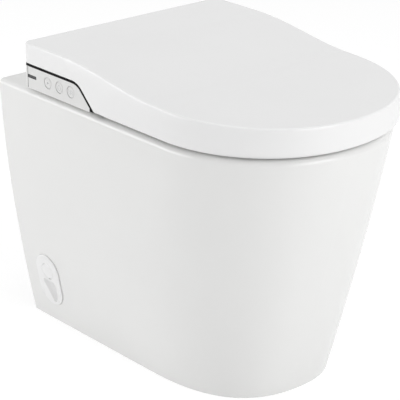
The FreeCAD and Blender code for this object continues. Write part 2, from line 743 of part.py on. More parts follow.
seat_plate = new_body("mounting_plate")
plate_sketch = sketch_on(seat_plate, "XY_Plane")
PLATE_X = "sizes.bolt_spacing / 2 + 16"
draw_polygon(
    plate_sketch,
    [(f"-({PLATE_X})", "-24"), (PLATE_X, "-24"), (PLATE_X, "24"), (f"-({PLATE_X})", "24")],
)
for side in ("-", ""):
    draw_circle(plate_sketch, f"{side}sizes.bolt_spacing / 2", "0", "sizes.bolt_radius + 0.3")
pad(seat_plate, plate_sketch, "sizes.housing_floor_rise")
put(seat_plate, "0", "places.bolt_y", "sizes.china_height")
subpart("mounting_plate", seat_plate)

BOLT_X = "-sizes.bolt_spacing / 2"
BOLT_R = "sizes.bolt_radius"
bolt = turned_piece(
    "bolt",
    [
        ("0", "-52"), (BOLT_R, "-52"), (BOLT_R, "0"), (f"{BOLT_R} + 4", "0"), (f"{BOLT_R} + 3", "2.2"),
        ("0", "2.2"),
    ],
    BOLT_X, "places.bolt_y", "places.housing_floor",
)
subpart("mounting_bolts", pair(bolt))
DECK_UNDER = "sizes.china_height - sizes.deck_thickness"
WASHER_THICK = 4
NUT_THICK = 7
washer_bore = f"{BOLT_R} + 0.2"
washer_rim = f"{BOLT_R} + 9"
washer = turned_piece(
    "washer",
    [(washer_bore, "0"), (washer_bore, -WASHER_THICK), (washer_rim, -WASHER_THICK), (washer_rim, "0")],
    BOLT_X, "places.bolt_y", DECK_UNDER,
)
subpart("mounting_washers", pair(washer))
nut = new_body("nut")
nut_sketch = sketch_on(nut, "XY_Plane")
NUT_REACH = "(sizes.bolt_radius + 3.5)"
draw_polygon(
    nut_sketch,
    [(f"{NUT_REACH} * {math.cos(i * math.pi / 3):.6f}", f"{NUT_REACH} * {math.sin(i * math.pi / 3):.6f}")
     for i in range(6)],
)
draw_circle(nut_sketch, "0", "0", "sizes.bolt_radius + 0.05")
pad(nut, nut_sketch, str(NUT_THICK))
put(nut, BOLT_X, "places.bolt_y", f"{DECK_UNDER} - {WASHER_THICK + NUT_THICK}")
subpart("mounting_nuts", pair(nut))

# ---------------------------------------------------------------- housing

HALF = "places.half_housing"
WALL = "sizes.housing_wall"
FRONT = "places.housing_y0"
STEP = "places.housing_y1"
REAR = "places.lid_rear"
LOW = "places.housing_floor"
INNER_FLOOR = "places.floor_top"
SPLIT = "places.housing_split"


def shell_block(x, y, z, open_top, open_bottom):
    """An outer box and the space inside its walls."""
    outside = block(x, y, z)
    low = f"{z[0]} - 1" if open_bottom else f"{z[0]} + {WALL}"
    high = f"{z[1]} + 1" if open_top else f"{z[1]} - {WALL}"
    inner_x = (f"{x[0]} + {WALL}", f"{x[1]} - {WALL}")
    inner_y = (f"{y[0]} + {WALL}", f"{y[1]} - {WALL}")
    return outside, block(inner_x, inner_y, (low, high))


base_out, base_in = shell_block((f"-{HALF}", HALF), (FRONT, REAR), (LOW, SPLIT), True, False)
COS = "cos(sizes.wand_slope * 1deg)"
SIN = "sin(sizes.wand_slope * 1deg)"
CRADLE_DEPTH = "(sizes.wand_radius + 2.4)"
MOUTH_SIDE = "sizes.wand_radius + 7"
# the mouth ends behind the place where the nozzle's cradle has risen above the floor
FLOOR_CROSSING = f"places.tip_y + ({INNER_FLOOR} - places.tip_level) * {COS} / {SIN} + {CRADLE_DEPTH} / {SIN}"
MOUTH_Y = (f"{FRONT} - 1", f"{FLOOR_CROSSING} + 1.4")
wand_mouth = block((f"-({MOUTH_SIDE})", MOUTH_SIDE), MOUTH_Y, (f"{LOW} - 1", f"{LOW} + 14"))
FLAP_MARGIN = 2.6
FLAP_X = (f"(places.duct_left - {FLAP_MARGIN})", f"(places.duct_right + {FLAP_MARGIN})")
FLAP_WIDE = f"({FLAP_X[1]} - {FLAP_X[0]})"
FLAP_AXIS_Y = f"({FRONT} + {WALL} / 2)"
FLAP_AXIS_Z = f"({INNER_FLOOR} + 12.6)"
duct_mouth = block(
    (f"{FLAP_X[0]} - 0.4", f"{FLAP_X[1]} + 0.4"),
    (f"{FRONT} - 1", f"{FRONT} + {WALL} + 1"),
    (f"{INNER_FLOOR} + 1", f"{FLAP_AXIS_Z} + 1.5"),
)
flap_pin_hole = rod("0.75", f"{FLAP_WIDE} + 4.4", f"{FLAP_X[0]} - 2.2", FLAP_AXIS_Y, FLAP_AXIS_Z, "x")
bolt_wells = [
    rod(f"{BOLT_R} + 7", "20", f"{side}sizes.bolt_spacing / 2", "places.bolt_y", f"{LOW} - 5")
    for side in ("-", "")
]
FITTING_X = "places.fitting_x"
FITTING_Z = "places.fitting_z"
FITTING_R = 10.6
GLAND_R = 6.1
inlet_hole = rod(FITTING_R, "20", FITTING_X, f"{REAR} - 10", FITTING_Z, "y")
gland_hole = rod(GLAND_R, "20", f"-{FITTING_X}", f"{REAR} - 10", FITTING_Z, "y")
key_slot = block((f"-{HALF} - 1", f"-{HALF} + {WALL} + 1"), (f"{FRONT} + 60", f"{FRONT} + 110"),
                 (f"{LOW} + 10", f"{LOW} + 20"))
VENT_PITCH = 12
VENT_WIDTH = 6
vent_slots = []
for i in range(5):
    slot_y = f"{FRONT} + {60 + VENT_PITCH * i}"
    slot_span = (slot_y, f"{slot_y} + {VENT_WIDTH}")
    slot = block((f"{HALF} - {WALL} - 1", f"{HALF} + 1"), slot_span, (f"{LOW} + 8", f"{LOW} + 24"))
    vent_slots.append(slot)
# the main board's posts, clear of the fan
POST_X = ("places.board_left + 5", "places.fan_x + places.scroll_radius - 1")
POSTS = [(x, y) for x in POST_X for y in (f"{STEP} - 10", f"{STEP} - sizes.board_depth")]
posts = [rod("4", f"places.board_z - {INNER_FLOOR}", x, y, INNER_FLOOR) for x, y in POSTS]
housing_base = carved(
    joined(carved(base_out, base_in), *posts),
    wand_mouth, duct_mouth, flap_pin_hole, inlet_hole, gland_hole, key_slot, *bolt_wells, *vent_slots,
)
subpart("housing_base", housing_base)

# cover: the tall part over the works and a low shelf under the hinge
tall_out, tall_in = shell_block(
    (f"-{HALF}", HALF), (FRONT, STEP), (SPLIT, "places.housing_top"), False, True
)
SHELF_TOP = "places.step_level"
shelf = block((f"-{HALF}", HALF), (f"{STEP} - {WALL}", REAR), (f"{SHELF_TOP} - {WALL}", SHELF_TOP))
shelf_back = block((f"-{HALF}", HALF), (f"{REAR} - {WALL}", REAR), (SPLIT, SHELF_TOP))
shelf_sides = [
    block((low, high), (f"{STEP} - {WALL}", REAR), (SPLIT, SHELF_TOP))
    for low, high in ((f"-{HALF}", f"-{HALF} + {WALL}"), (f"{HALF} - {WALL}", HALF))
]
behind = block((f"-{HALF} + {WALL}", f"{HALF} - {WALL}"), (f"{STEP} - {WALL} - 1", f"{STEP} + 1"),
               (f"{SPLIT} - 1", f"{SHELF_TOP} - {WALL}"))
SCREW_INSET = 20
HEAD_SEAT = "places.housing_top - 2.2"
SCREW_SPOTS = [
    (x, y)
    for x in (f"{SCREW_INSET} - {HALF}", f"{HALF} - {SCREW_INSET}")
    for y in (f"{FRONT} + 12", f"{STEP} - 12")
]
PILLAR_HIGH = f"places.housing_top - {WALL} / 2 - {INNER_FLOOR}"
pillars = [rod("5", PILLAR_HIGH, x, y, INNER_FLOOR) for x, y in SCREW_SPOTS]
screw_wells = [rod("2.05", "80", x, y, "places.housing_top - 60") for x, y in SCREW_SPOTS]
head_wells = [rod("4.2", "10", x, y, HEAD_SEAT) for x, y in SCREW_SPOTS]
cover_walls = joined(carved(tall_out, tall_in), shelf, shelf_back, *shelf_sides, *pillars)
housing_cover = carved(cover_walls, behind, *screw_wells, *head_wells)
subpart("housing_cover", housing_cover)

screws = [
    turned_piece(
        "housing_screw",
        [("0", "-40"), ("2", "-40"), ("2", "0"), ("4", "0"), ("3.4", "1.9"), ("0", "1.9")],
        x, y, HEAD_SEAT,
    )
    for x, y in SCREW_SPOTS
]
subpart("housing_screws", group(*screws))


def panel_profile(grow, base_grow, rear):
    """The side panel seen from the side, grown outwards by a distance."""
    top = value("panel_top") + grow
    base = value("panel_base") - base_grow
    slope = math.radians(value("panel_slope"))
    tip_y = value("wall_face") - value("panel_front")
    # the sloping front edge moves out square to itself
    foot_y = tip_y - grow / math.sin(slope) - (value("panel_base") - base) / math.tan(slope)
    top_y = foot_y + (top - base) / math.tan(slope)
    radius = value("panel_bend") + grow
    reach = radius * math.tan(slope / 2)
    bend_in = Vector(0, top_y - reach * math.cos(slope), top - reach * math.sin(slope))
    bend_out = Vector(0, top_y + reach, top)
    middle = Vector(0, bend_out.y - radius * math.sin(slope / 2), top - radius * (1 - math.cos(slope / 2)))
    corners = [Vector(0, rear, top), Vector(0, rear, base), Vector(0, foot_y, base), bend_in]
    edges = [Part.makeLine(a, b) for a, b in zip(corners, corners[1:])]
    edges.append(Part.Arc(bend_in, middle, bend_out).toShape())
    edges.append(Part.makeLine(bend_out, corners[0]))
    return Part.Face(Part.Wire(Part.__sortEdges__(edges)))


def lid_plan(inset, rear_inset, level):
    """The lid's outline seen from above, drawn in by an inset."""
    return plan_outline(
        value("half_lid") - inset, value("lid_front") + inset, value("lid_rear") - rear_inset,
        value("nose_top") - inset, value("nose_fullness"), level, max(value("corner_round") - inset, 1.0),
    )


def hinge_clearance(radius):
    axis = Vector(-WIDE, value("hinge_y"), value("hinge_z"))
    return Part.makeCylinder(radius, 2 * WIDE, axis, Vector(1, 0, 0))


HEEL_SWEEP = value("hinge_from_edge") * math.sqrt(2) - value("lid_heel_round") * (math.sqrt(2) - 1) + 0.5


def past_tip(back):
    """Everything in front of a plane, set back from the panel's front tip."""
    plane = value("wall_face") - value("panel_front") + back
    return Part.makeBox(4 * WIDE, 4 * WIDE, 4 * WIDE, Vector(-2 * WIDE, plane - 4 * WIDE, -WIDE))


def make_panel():
    """A side panel's skin, open towards the housing."""
    skin = value("panel_wall")
    tip = value("panel_tip")
    inner_x = -value("half_housing")
    rear = value("lid_rear")
    outside = across(panel_profile(0, 0, rear), -WIDE / 2 - 1, inner_x)
    outside = outside.common(prism(lid_plan(0, 0, 0), value("lid_rear_height")))
    inside = across(panel_profile(-skin, -skin, rear - skin), -WIDE / 2 - 1, inner_x + 1)
    inside = inside.common(prism(lid_plan(skin, skin, 0), value("lid_rear_height")))
    return outside.cut([inside.cut(past_tip(tip + skin)), past_tip(tip), hinge_clearance(HEEL_SWEEP)])


def make_control_panel():
    panel = make_panel()
    level = value("button_level")
    tools = []
    for i in range(3):
        y = value("wall_face") - value("button_from_wall") - i * value("button_pitch")
        radius = value("button_radius") + value("button_gap")
        tools.append(Part.makeCylinder(radius, 10, Vector(-WIDE / 2 - 2, y, level), Vector(1, 0, 0)))
    end = value("wall_face") - value("sensor_from_wall")
    size = (10, value("sensor_length"), value("sensor_height"))
    tools.append(Part.makeBox(*size, Vector(-WIDE / 2 - 2, end - size[1], level - size[2] / 2)))
    return panel.cut(tools)


control_panel = subpart("control_panel", solid_piece(make_control_panel()))
blank_panel = subpart("blank_panel", mirrored(solid_piece(make_panel())))


def make_panel_seal():
    """The black rubber strip on the panel's top and front edges, with a foot in front of its tip."""
    depth = 5.0
    rear = value("lid_rear")
    grown = across(panel_profile(value("black_line"), 0, rear), -WIDE / 2 - 1, -WIDE / 2 + depth)
    core = across(panel_profile(0, 0, rear + 1), -WIDE / 2 - 2, -WIDE / 2 + depth + 1)
    core = core.cut(past_tip(value("panel_tip")))
    strip = grown.cut(core).common(prism(lid_plan(0.3, 0.3, 0), value("lid_rear_height")))
    below = Part.makeBox(2 * WIDE, 2 * WIDE, 20, Vector(-WIDE, -WIDE, value("panel_base") - 19))
    return strip.cut([below, hinge_clearance(HEEL_SWEEP)])


panel_seal = solid_piece(make_panel_seal())
subpart("panel_seals", pair(panel_seal))

SENSOR_END = "places.wall_face - sizes.sensor_from_wall"
WINDOW_HALF = "(sizes.sensor_height / 2 - 0.1)"
window = block(
    ("sizes.thin_gap - places.half_lid", "places.skin_x"),
    (f"{SENSOR_END} - sizes.sensor_length + 0.1", f"{SENSOR_END} - 0.1"),
    (f"places.button_level - {WINDOW_HALF}", f"places.button_level + {WINDOW_HALF}"),
)
flange = block(
    ("places.skin_x", "places.skin_x + 1.2"),
    (f"{SENSOR_END} - sizes.sensor_length - 2", f"{SENSOR_END} + 2"),
    ("places.button_level - 4", "places.button_level + 4"),
)
subpart("sensor_window", joined(window, flange))

BUTTONS = ["wash_button", "rinse_button", "dry_button"]
FACE_X = "-places.half_lid"
INWARDS = Rotation(Vector(0, 1, 0), 90)
REAR_BUTTON_Y = "places.wall_face - sizes.button_from_wall"
BUTTON_Y = [f"{REAR_BUTTON_Y} - {i} * sizes.button_pitch" for i in range(3)]
CAP_EDGE = "sizes.button_radius"
FLANGE_EDGE = "sizes.button_radius + 1.2"
FLANGE = ("places.skin_x + places.half_lid + 0.1", "places.skin_x + places.half_lid + 1.3")
STEM_R = "2.5"
STEM_END = "places.skin_x + places.half_lid + 5"
for node, y in zip(BUTTONS, BUTTON_Y):
    button = turned_piece(
        node,
        [
            ("0", "0"), (f"{CAP_EDGE} - 1", "0"), (CAP_EDGE, "0.8"), (CAP_EDGE, FLANGE[0]),
            (FLANGE_EDGE, FLANGE[0]), (FLANGE_EDGE, FLANGE[1]), (STEM_R, FLANGE[1]), (STEM_R, STEM_END),
            ("0", STEM_END),
        ],
        FACE_X, y, "places.button_level", INWARDS,
    )
    subpart(node, button)

# silicone mat with a dome behind each button, lying on the button board
MAT_Y = (f"{REAR_BUTTON_Y} - 2.45 * sizes.button_pitch", f"{REAR_BUTTON_Y} + 0.6 * sizes.button_pitch")
KEY_Z = ("places.button_level - 11", "places.button_level + 11")
MAT_THICK = 1.5
mat = block((f"places.board_x - {MAT_THICK}", "places.board_x"), MAT_Y, KEY_Z)
domes = []
for y in BUTTON_Y:
    dome = doc.addObject("Part::Cone", "dome")
    dome.Radius1 = 5
    dome.Radius2 = 3
    bind(dome, {"Height": f"places.board_x - places.skin_x - 5 - sizes.button_travel - 0.15 - {MAT_THICK}"})
    put(dome, f"places.board_x - {MAT_THICK}", y, "places.button_level", Rotation(Vector(0, 1, 0), -90))
    domes.append(dome)
subpart("keypad_mat", joined(mat, *domes))

board = block(("places.board_x", "places.board_x + sizes.board_thickness"), MAT_Y, KEY_Z)
STAY_WIDE = 3
board_stays = [
    block(("places.board_x + sizes.board_thickness", f"-{HALF}"), (start, f"{start} + {STAY_WIDE}"), KEY_Z)
    for start in (f"{MAT_Y[0]} + 3", f"{MAT_Y[1]} - 6")
]
subpart("button_board", joined(board, *board_stays))

# ---------------------------------------------------------------- hinge

HINGE_Y = "places.hinge_y"
HINGE_Z = "places.hinge_z"
EAR = (f"1 - {HALF}", f"12 - {HALF}")
ear_boss = rod("sizes.boss_radius", f"({EAR[1]}) - ({EAR[0]})", EAR[0], HINGE_Y, HINGE_Z, "x")
ear_arm = block(EAR, (STEP, HINGE_Y), (f"{HINGE_Z} - 5.4", f"{HINGE_Z} + 5"))
ear_flange = block((EAR[0], f"{EAR[1]} + 14"), (STEP, f"{STEP} + 2.4"), (SHELF_TOP, "places.housing_top - 1"))
ear_bore = rod("sizes.pin_radius + sizes.pin_gap", "60", f"{EAR[0]} - 20", HINGE_Y, HINGE_Z, "x")
ear = carved(joined(ear_boss, ear_arm, ear_flange), ear_bore)
subpart("hinge_brackets", pair(ear))

PIN_END = "places.half_lid - sizes.lid_wall - 2"
PIN_PAST_DAMPER = 2
PIN_START = f"(-({EAR[1]}) - sizes.damper_length - {PIN_PAST_DAMPER})"
pin = rod("sizes.pin_radius", f"{PIN_END} - {PIN_START}", f"-({PIN_END})", HINGE_Y, HINGE_Z, "x")
subpart("hinge_pins", pair(pin))

PIN_BORE = "sizes.pin_radius + sizes.pin_gap"
BOSS_R = "sizes.boss_radius"
damper_profile = [
    (PIN_BORE, "0"), (f"{BOSS_R} - 0.6", "0"), (f"{BOSS_R} - 0.2", "1"),
    (f"{BOSS_R} - 0.2", "sizes.damper_length"), (PIN_BORE, "sizes.damper_length"),
]
ALONG_X = Rotation(Vector(0, 1, 0), 90)
seat_damper = turned_piece("seat_damper", damper_profile, f"{EAR[1]} + 0.2", HINGE_Y, HINGE_Z, ALONG_X)
subpart("seat_damper", seat_damper)
LID_DAMPER_X = f"-({EAR[1]}) - sizes.damper_length - 0.2"
lid_damper = turned_piece("lid_damper", damper_profile, LID_DAMPER_X, HINGE_Y, HINGE_Z, ALONG_X)
subpart("lid_damper", lid_damper)

# ---------------------------------------------------------------- water side

THREAD_R = 10.48
inlet = turned_piece(
    "water_inlet_fitting",
    [
        ("5", "-6"), ("14", "-6"), ("14", f"-{WALL} - 0.1"), (THREAD_R - 0.2, f"-{WALL} - 0.1"),
        (THREAD_R - 0.2, "0.5"), (THREAD_R, "0.5"), (THREAD_R, "16"), ("5", "16"),
    ],
    FITTING_X, REAR, FITTING_Z, Rotation(Vector(1, 0, 0), -90),
)
subpart("water_inlet_fitting", inlet)

VALVE_TOP = f"{LOW} + 27"
VALVE_X = (f"{FITTING_X} - 18", f"{FITTING_X} + 18")
valve_body = block(VALVE_X, (f"{REAR} - 25", f"{REAR} - 6"), (INNER_FLOOR, VALVE_TOP))
valve_coil = rod("9", "12", f"{FITTING_X} - 6", f"{REAR} - 37", FITTING_Z, "y")
valve_bore = rod("4.5", "40", FITTING_X, f"{REAR} - 20", FITTING_Z, "y")
subpart("solenoid_valve", carved(joined(valve_body, valve_coil), valve_bore))

TANK_X = (f"4 - {HALF}", f"4 + sizes.tank_width - {HALF}")
TANK_Y = (f"{FRONT} + 46", f"{STEP} - 20")
TANK_Z = (f"{LOW} + 9", "places.housing_top - 12")
tank_out, tank_in = shell_block(TANK_X, TANK_Y, TANK_Z, False, False)
tank_feet = [
    rod("5", f"{LOW} + 10 - {INNER_FLOOR}", x, y, INNER_FLOOR)
    for x in (f"{TANK_X[0]} + 10", f"{TANK_X[1]} - 8")
    for y in (f"{FRONT} + 55", f"{STEP} - 28")
]
subpart("water_tank", joined(carved(tank_out, tank_in), *tank_feet))
HEATER_X = f"({TANK_X[0]} + {WALL})"
HEATER_Y = f"{FRONT} + 90"
HEATER_Z = f"{LOW} + 28"
heater_flange = rod("9", "4", HEATER_X, HEATER_Y, HEATER_Z, "x")
heater_rod = rod("6", "sizes.tank_width - 30", f"{HEATER_X} + 3", HEATER_Y, HEATER_Z, "x")
subpart("tank_heater", joined(heater_flange, heater_rod))

PUMP_X = (f"60 - {HALF}", f"60 + sizes.pump_width - {HALF}")
PUMP_Y = (f"{FRONT} + 9", f"{FRONT} + 38")
pump_body = block(PUMP_X, PUMP_Y, (INNER_FLOOR, f"{LOW} + 24"))
pump_motor = rod("11", "26", PUMP_X[1], f"{FRONT} + 23", f"{LOW} + 15", "x")
subpart("water_pump", joined(pump_body, pump_motor))

HOSE_R = "sizes.hose_radius"
HOSE_Y = f"({REAR} - 14)"
HOSE_Z = f"({LOW} + 33)"
HOSE_ENDS = (f"({TANK_X[1]} - 18)", FITTING_X)
rise = rod(HOSE_R, f"{HOSE_Z} - ({VALVE_TOP})", HOSE_ENDS[1], HOSE_Y, VALVE_TOP)
elbows = []
for x in HOSE_ENDS:
    elbow = doc.addObject("Part::Sphere", "elbow")
    bind(elbow, {"Radius": HOSE_R})
    elbows.append(put(elbow, x, HOSE_Y, HOSE_Z))
crossing = rod(HOSE_R, f"{HOSE_ENDS[1]} - {HOSE_ENDS[0]}", HOSE_ENDS[0], HOSE_Y, HOSE_Z, "x")
to_tank = rod(HOSE_R, f"{HOSE_Y} - ({TANK_Y[1]})", HOSE_ENDS[0], TANK_Y[1], HOSE_Z, "y")
supply_hose = joined(rise, crossing, to_tank, *elbows)
pump_hose = rod("3.5", f"({TANK_Y[0]}) - ({PUMP_Y[1]})", f"{PUMP_X[0]} + 20", PUMP_Y[1], f"{LOW} + 17", "y")
subpart("water_hoses", group(supply_hose, pump_hose))

CABLE_R = 3.6
gland = turned_piece(
    "cable_gland",
    [
        (CABLE_R, "-8"), ("9", "-8"), ("9", f"-{WALL} - 0.1"), (GLAND_R - 0.1, f"-{WALL} - 0.1"),
        (GLAND_R - 0.1, "0.1"), ("9", "0.1"), ("8", "6"), (CABLE_R, "6"),
    ],
    f"-{FITTING_X}", REAR, FITTING_Z, Rotation(Vector(1, 0, 0), -90),
)
subpart("cable_gland", gland)

# ---------------------------------------------------------------- nozzle, in the wand's own frame
# (Y runs back along the wand from its tip, Z is square to it, X is the object's X)

WAND_TURN = Rotation(Vector(1, 0, 0), value("wand_slope"))


def on_wand(item, along="0", x="0"):
    return put(
        item, x, f"places.tip_y + ({along}) * {COS}", f"places.tip_level + ({along}) * {SIN}", WAND_TURN
    )


tube = rod("sizes.wand_radius", "sizes.wand_length - sizes.tip_length", "0", "sizes.tip_length", "0", "y")
tube_bore = rod("sizes.wand_radius - 1.5", "sizes.wand_length", "0", "sizes.tip_length - 1", "0", "y")
subpart("nozzle_tube", on_wand(carved(tube, tube_bore)))

TIP_R = "sizes.tip_radius"
tip_body = turned_piece(
    "tip_body",
    [
        ("0", "0"), (f"{TIP_R} - 4", "0"), (f"{TIP_R} - 1.2", "1.2"), (TIP_R, "4"),
        (TIP_R, "sizes.tip_length"), ("0", "sizes.tip_length"),
    ],
    "0", "0", "0", Rotation(Vector(1, 0, 0), -90),
)
jets = [rod("0.8", "10", x, y, "3") for x, y in (("-2.2", "8"), ("2.2", "8"), ("0", "11.5"))]
subpart("nozzle_tip", on_wand(carved(tip_body, *jets)))

PITCH = "(sizes.gear_module * 3.14159265)"
PITCH_LINE = "(sizes.wand_radius + 4.3)"
PINION_AT = "56"
rack = new_body("rack")
rack_sketch = sketch_on(rack, "XY_Plane", "-3")
RACK_START = f"({PINION_AT} - 2 * {PITCH})"
RACK_TEETH = math.ceil(value("wand_travel") / (math.pi * value("gear_module"))) + 3
ROOT = f"({PITCH_LINE} - 1.2)"
RACK_END = f"{RACK_START} + {RACK_TEETH} * {PITCH}"
RACK_BACK = "sizes.wand_radius - 2"
draw_polygon(
    rack_sketch, [(RACK_BACK, RACK_START), (ROOT, RACK_START), (ROOT, RACK_END), (RACK_BACK, RACK_END)]
)
pad(rack, rack_sketch, "6")
tooth_sketch = sketch_on(rack, "XY_Plane", "-3")
TOOTH_AT = f"({RACK_START} + 0.5 * {PITCH})"
draw_polygon(
    tooth_sketch,
    [(f"{ROOT} - 0.5", f"{TOOTH_AT} - 1.22"), (f"{PITCH_LINE} + 0.9", f"{TOOTH_AT} - 0.45"),
     (f"{PITCH_LINE} + 0.9", f"{TOOTH_AT} + 0.45"), (f"{ROOT} - 0.5", f"{TOOTH_AT} + 1.22")],
)
tooth = pad(rack, tooth_sketch, "6")
row_of_teeth = rack.newObject("PartDesign::LinearPattern", "teeth")
row_of_teeth.Originals = [tooth]
rack_axis = next(item for item in rack.Origin.OriginFeatures if item.Role == "Y_Axis")
row_of_teeth.Direction = (rack_axis, [""])
row_of_teeth.setExpression("Length", f"{RACK_TEETH - 1} * {PITCH}")
row_of_teeth.Occurrences = RACK_TEETH
rack.Tip = row_of_teeth
tube_seat = rod("sizes.wand_radius + 0.02", "400", "0", "-100", "0", "y")
subpart("nozzle_rack", on_wand(carved(rack, tube_seat)))

pinion = new_body("pinion")
hub_sketch = sketch_on(pinion, "XY_Plane", "-2.5")
draw_circle(hub_sketch, "0", "0", "places.pitch_radius - 1.2")
pad(pinion, hub_sketch, "5")
pinion_tooth = sketch_on(pinion, "XY_Plane", "-2.5")
draw_polygon(
    pinion_tooth,
    [("places.pitch_radius - 2", "-1.15"), ("places.pitch_radius + 0.9", "-0.42"),
     ("places.pitch_radius + 0.9", "0.42"), ("places.pitch_radius - 2", "1.15")],
)
round_pattern(pinion, pad(pinion, pinion_tooth, "5"), "sizes.pinion_teeth")
pinion_bore = rod("1.55", "20", "0", "0", "-10")
PINION_X = f"{PITCH_LINE} + places.pitch_radius"
subpart("nozzle_pinion", on_wand(carved(pinion, pinion_bore), PINION_AT, PINION_X))

motor_can = rod("12", "16", "0", "0", "5")
motor_shaft = rod("1.5", "8", "0", "0", "-2.5")
motor_plate = block(("-11", "16"), ("-14", "14"), ("3.6", "5"))
motor_leg = block(("13", "16"), ("-8", "8"), ("-16", "4"))
motor = joined(motor_can, motor_shaft, motor_plate, motor_leg)
on_wand(motor, PINION_AT, PINION_X)
under_floor = block(("0", HALF), (FRONT, STEP), (f"{INNER_FLOOR} - 30", INNER_FLOOR))
subpart("nozzle_motor", carved(motor, under_floor))

# the cradle reaches far enough forward to hold the tube's rear end when the nozzle is fully out
CRADLE_SIDE = "(sizes.wand_radius + 4)"
CRADLE_HOLD = 28
CRADLE_Y = (f"sizes.wand_length - sizes.wand_travel - {CRADLE_HOLD}", "sizes.wand_length - 4")
cradle_floor = block((f"-{CRADLE_SIDE}", CRADLE_SIDE), CRADLE_Y, (f"-{CRADLE_DEPTH}", "-3.6"))
cradle_wall = block((f"-{CRADLE_SIDE}", "-4"), CRADLE_Y, ("-4", "sizes.wand_radius - 2"))
cradle_bore = rod("sizes.wand_radius + sizes.thin_gap", "400", "0", "-100", "0", "y")
cradle = on_wand(carved(joined(cradle_floor, cradle_wall), cradle_bore))
CRADLE_LOW = "-sizes.wand_radius - 2"
trestles = []
for along in (90, 145):
    trestle_y = f"places.tip_y + {along} * {COS}"
    trestle_top = f"places.tip_level + {along} * {SIN} + ({CRADLE_LOW})"
    trestles.append(block(("-9", "9"), (f"{trestle_y} - 3", f"{trestle_y} + 3"), (INNER_FLOOR, trestle_top)))
subpart("nozzle_guide_rail", joined(cradle, *trestles))

# ---------------------------------------------------------------- air side

FAN_X = "places.fan_x"
FAN_Y = "places.fan_y"
THIN = "sizes.duct_wall"
SCROLL = "places.scroll_radius"
SCROLL_HIGH = "sizes.scroll_height"
DUCT_IN_X = (f"places.duct_left + {THIN}", f"places.duct_right - {THIN}")
DUCT_IN_Z = (f"places.duct_base + {THIN}", f"places.duct_top - {THIN}")
FAN_FLOOR = f"{INNER_FLOOR} + {THIN}"
scroll_out = rod(SCROLL, SCROLL_HIGH, FAN_X, FAN_Y, INNER_FLOOR)
scroll_in = rod(f"{SCROLL} - {THIN}", f"{SCROLL_HIGH} - 2 * {THIN}", FAN_X, FAN_Y, FAN_FLOOR)
scroll_mouth = rod("14", "10", FAN_X, FAN_Y, f"{INNER_FLOOR} + {SCROLL_HIGH} - 5")
scroll_outlet = block(DUCT_IN_X, (f"{FAN_Y} - 40", FAN_Y), DUCT_IN_Z)
subpart("fan_housing", carved(scroll_out, scroll_in, scroll_mouth, scroll_outlet))

duct_out = block(("places.duct_left", "places.duct_right"), (f"{FRONT} + {WALL}", FAN_Y),
                 ("places.duct_base", "places.duct_top"))
duct_in = block(DUCT_IN_X, (f"{FRONT} - 1", f"{FAN_Y} + 1"), DUCT_IN_Z)
duct_trim = rod(f"{SCROLL} + 0.1", "60", FAN_X, FAN_Y, f"{INNER_FLOOR} - 10")
subpart("dryer_duct", carved(duct_out, duct_in, duct_trim))

heater_block = block(
    (f"{DUCT_IN_X[0]} + 0.2", f"{DUCT_IN_X[1]} - 0.2"), (f"{FRONT} + 16", f"{FRONT} + 34"),
    (f"{DUCT_IN_Z[0]} + 0.2", f"{DUCT_IN_Z[1]} - 0.2"),
)
heater_holes = []
for i in range(4):
    for j in range(2):
        hole_x = f"places.duct_left + {5.5 + 5.7 * i}"
        hole_z = f"places.duct_base + {5 + 5 * j}"
        heater_holes.append(rod("1.8", "30", hole_x, f"{FRONT} + 10", hole_z, "y"))
subpart("dryer_heater", carved(heater_block, *heater_holes))

SPINDLE_R = 1.5
stator_body = rod("8", "14", FAN_X, FAN_Y, FAN_FLOOR)
stator_bore = rod(SPINDLE_R + 0.1, "30", FAN_X, FAN_Y, f"{FAN_FLOOR} + 1")
subpart("fan_motor", carved(stator_body, stator_bore))

CUP_IN = "9"
CUP_OUT = "10.4"
FAN_R = "sizes.impeller_radius"
BLADE_IN = f"{FAN_R} - 8"
impeller = turned_piece(
    "impeller",
    [
        ("0", "2"), (SPINDLE_R, "2"), (SPINDLE_R, "16"), (CUP_IN, "16"), (CUP_IN, "2"), (CUP_OUT, "2"),
        (CUP_OUT, "3"), (FAN_R, "3"), (FAN_R, "4.4"), (CUP_OUT, "4.4"), (CUP_OUT, "17.5"), ("0", "17.5"),
    ],
    "0", "0", "0",
)
blade_sketch = sketch_on(impeller, "XY_Plane", "4")
draw_polygon(blade_sketch, [(BLADE_IN, "-0.6"), (FAN_R, "-0.6"), (FAN_R, "0.6"), (BLADE_IN, "0.6")])
round_pattern(impeller, pad(impeller, blade_sketch, "19"), "18")
put(impeller, FAN_X, FAN_Y, FAN_FLOOR)
subpart("dryer_impeller", impeller)

FLAP_Y = (f"{FLAP_AXIS_Y} - 0.75", f"{FLAP_AXIS_Y} + 0.75")
flap_plate = block(FLAP_X, FLAP_Y, (f"{INNER_FLOOR} + 1.4", FLAP_AXIS_Z))
flap_barrel = rod("1.2", FLAP_WIDE, FLAP_X[0], FLAP_AXIS_Y, FLAP_AXIS_Z, "x")
flap_pins = rod("0.7", f"{FLAP_WIDE} + 4", f"{FLAP_X[0]} - 2", FLAP_AXIS_Y, FLAP_AXIS_Z, "x")
subpart("dryer_flap", joined(flap_plate, flap_barrel, flap_pins))

FILTER_X = ("places.board_right - sizes.filter_width", "places.board_right")
filter_case = block(FILTER_X, (f"{FRONT} + 8", f"{FRONT} + 44"), (INNER_FLOOR, f"{LOW} + 30"))
PLEAT_PITCH = 5
pleats = []
for i in range(6):
    pleat_y = f"{FRONT} + {11 + PLEAT_PITCH * i}"
    pleats.append(block((f"{FILTER_X[0]} + 3", f"{FILTER_X[1]} - 3"), (pleat_y, f"{pleat_y} + 3"),
                        (f"{INNER_FLOOR} + 3", f"{LOW} + 31")))
subpart("deodoriser_filter", carved(filter_case, *pleats))

# ---------------------------------------------------------------- main board

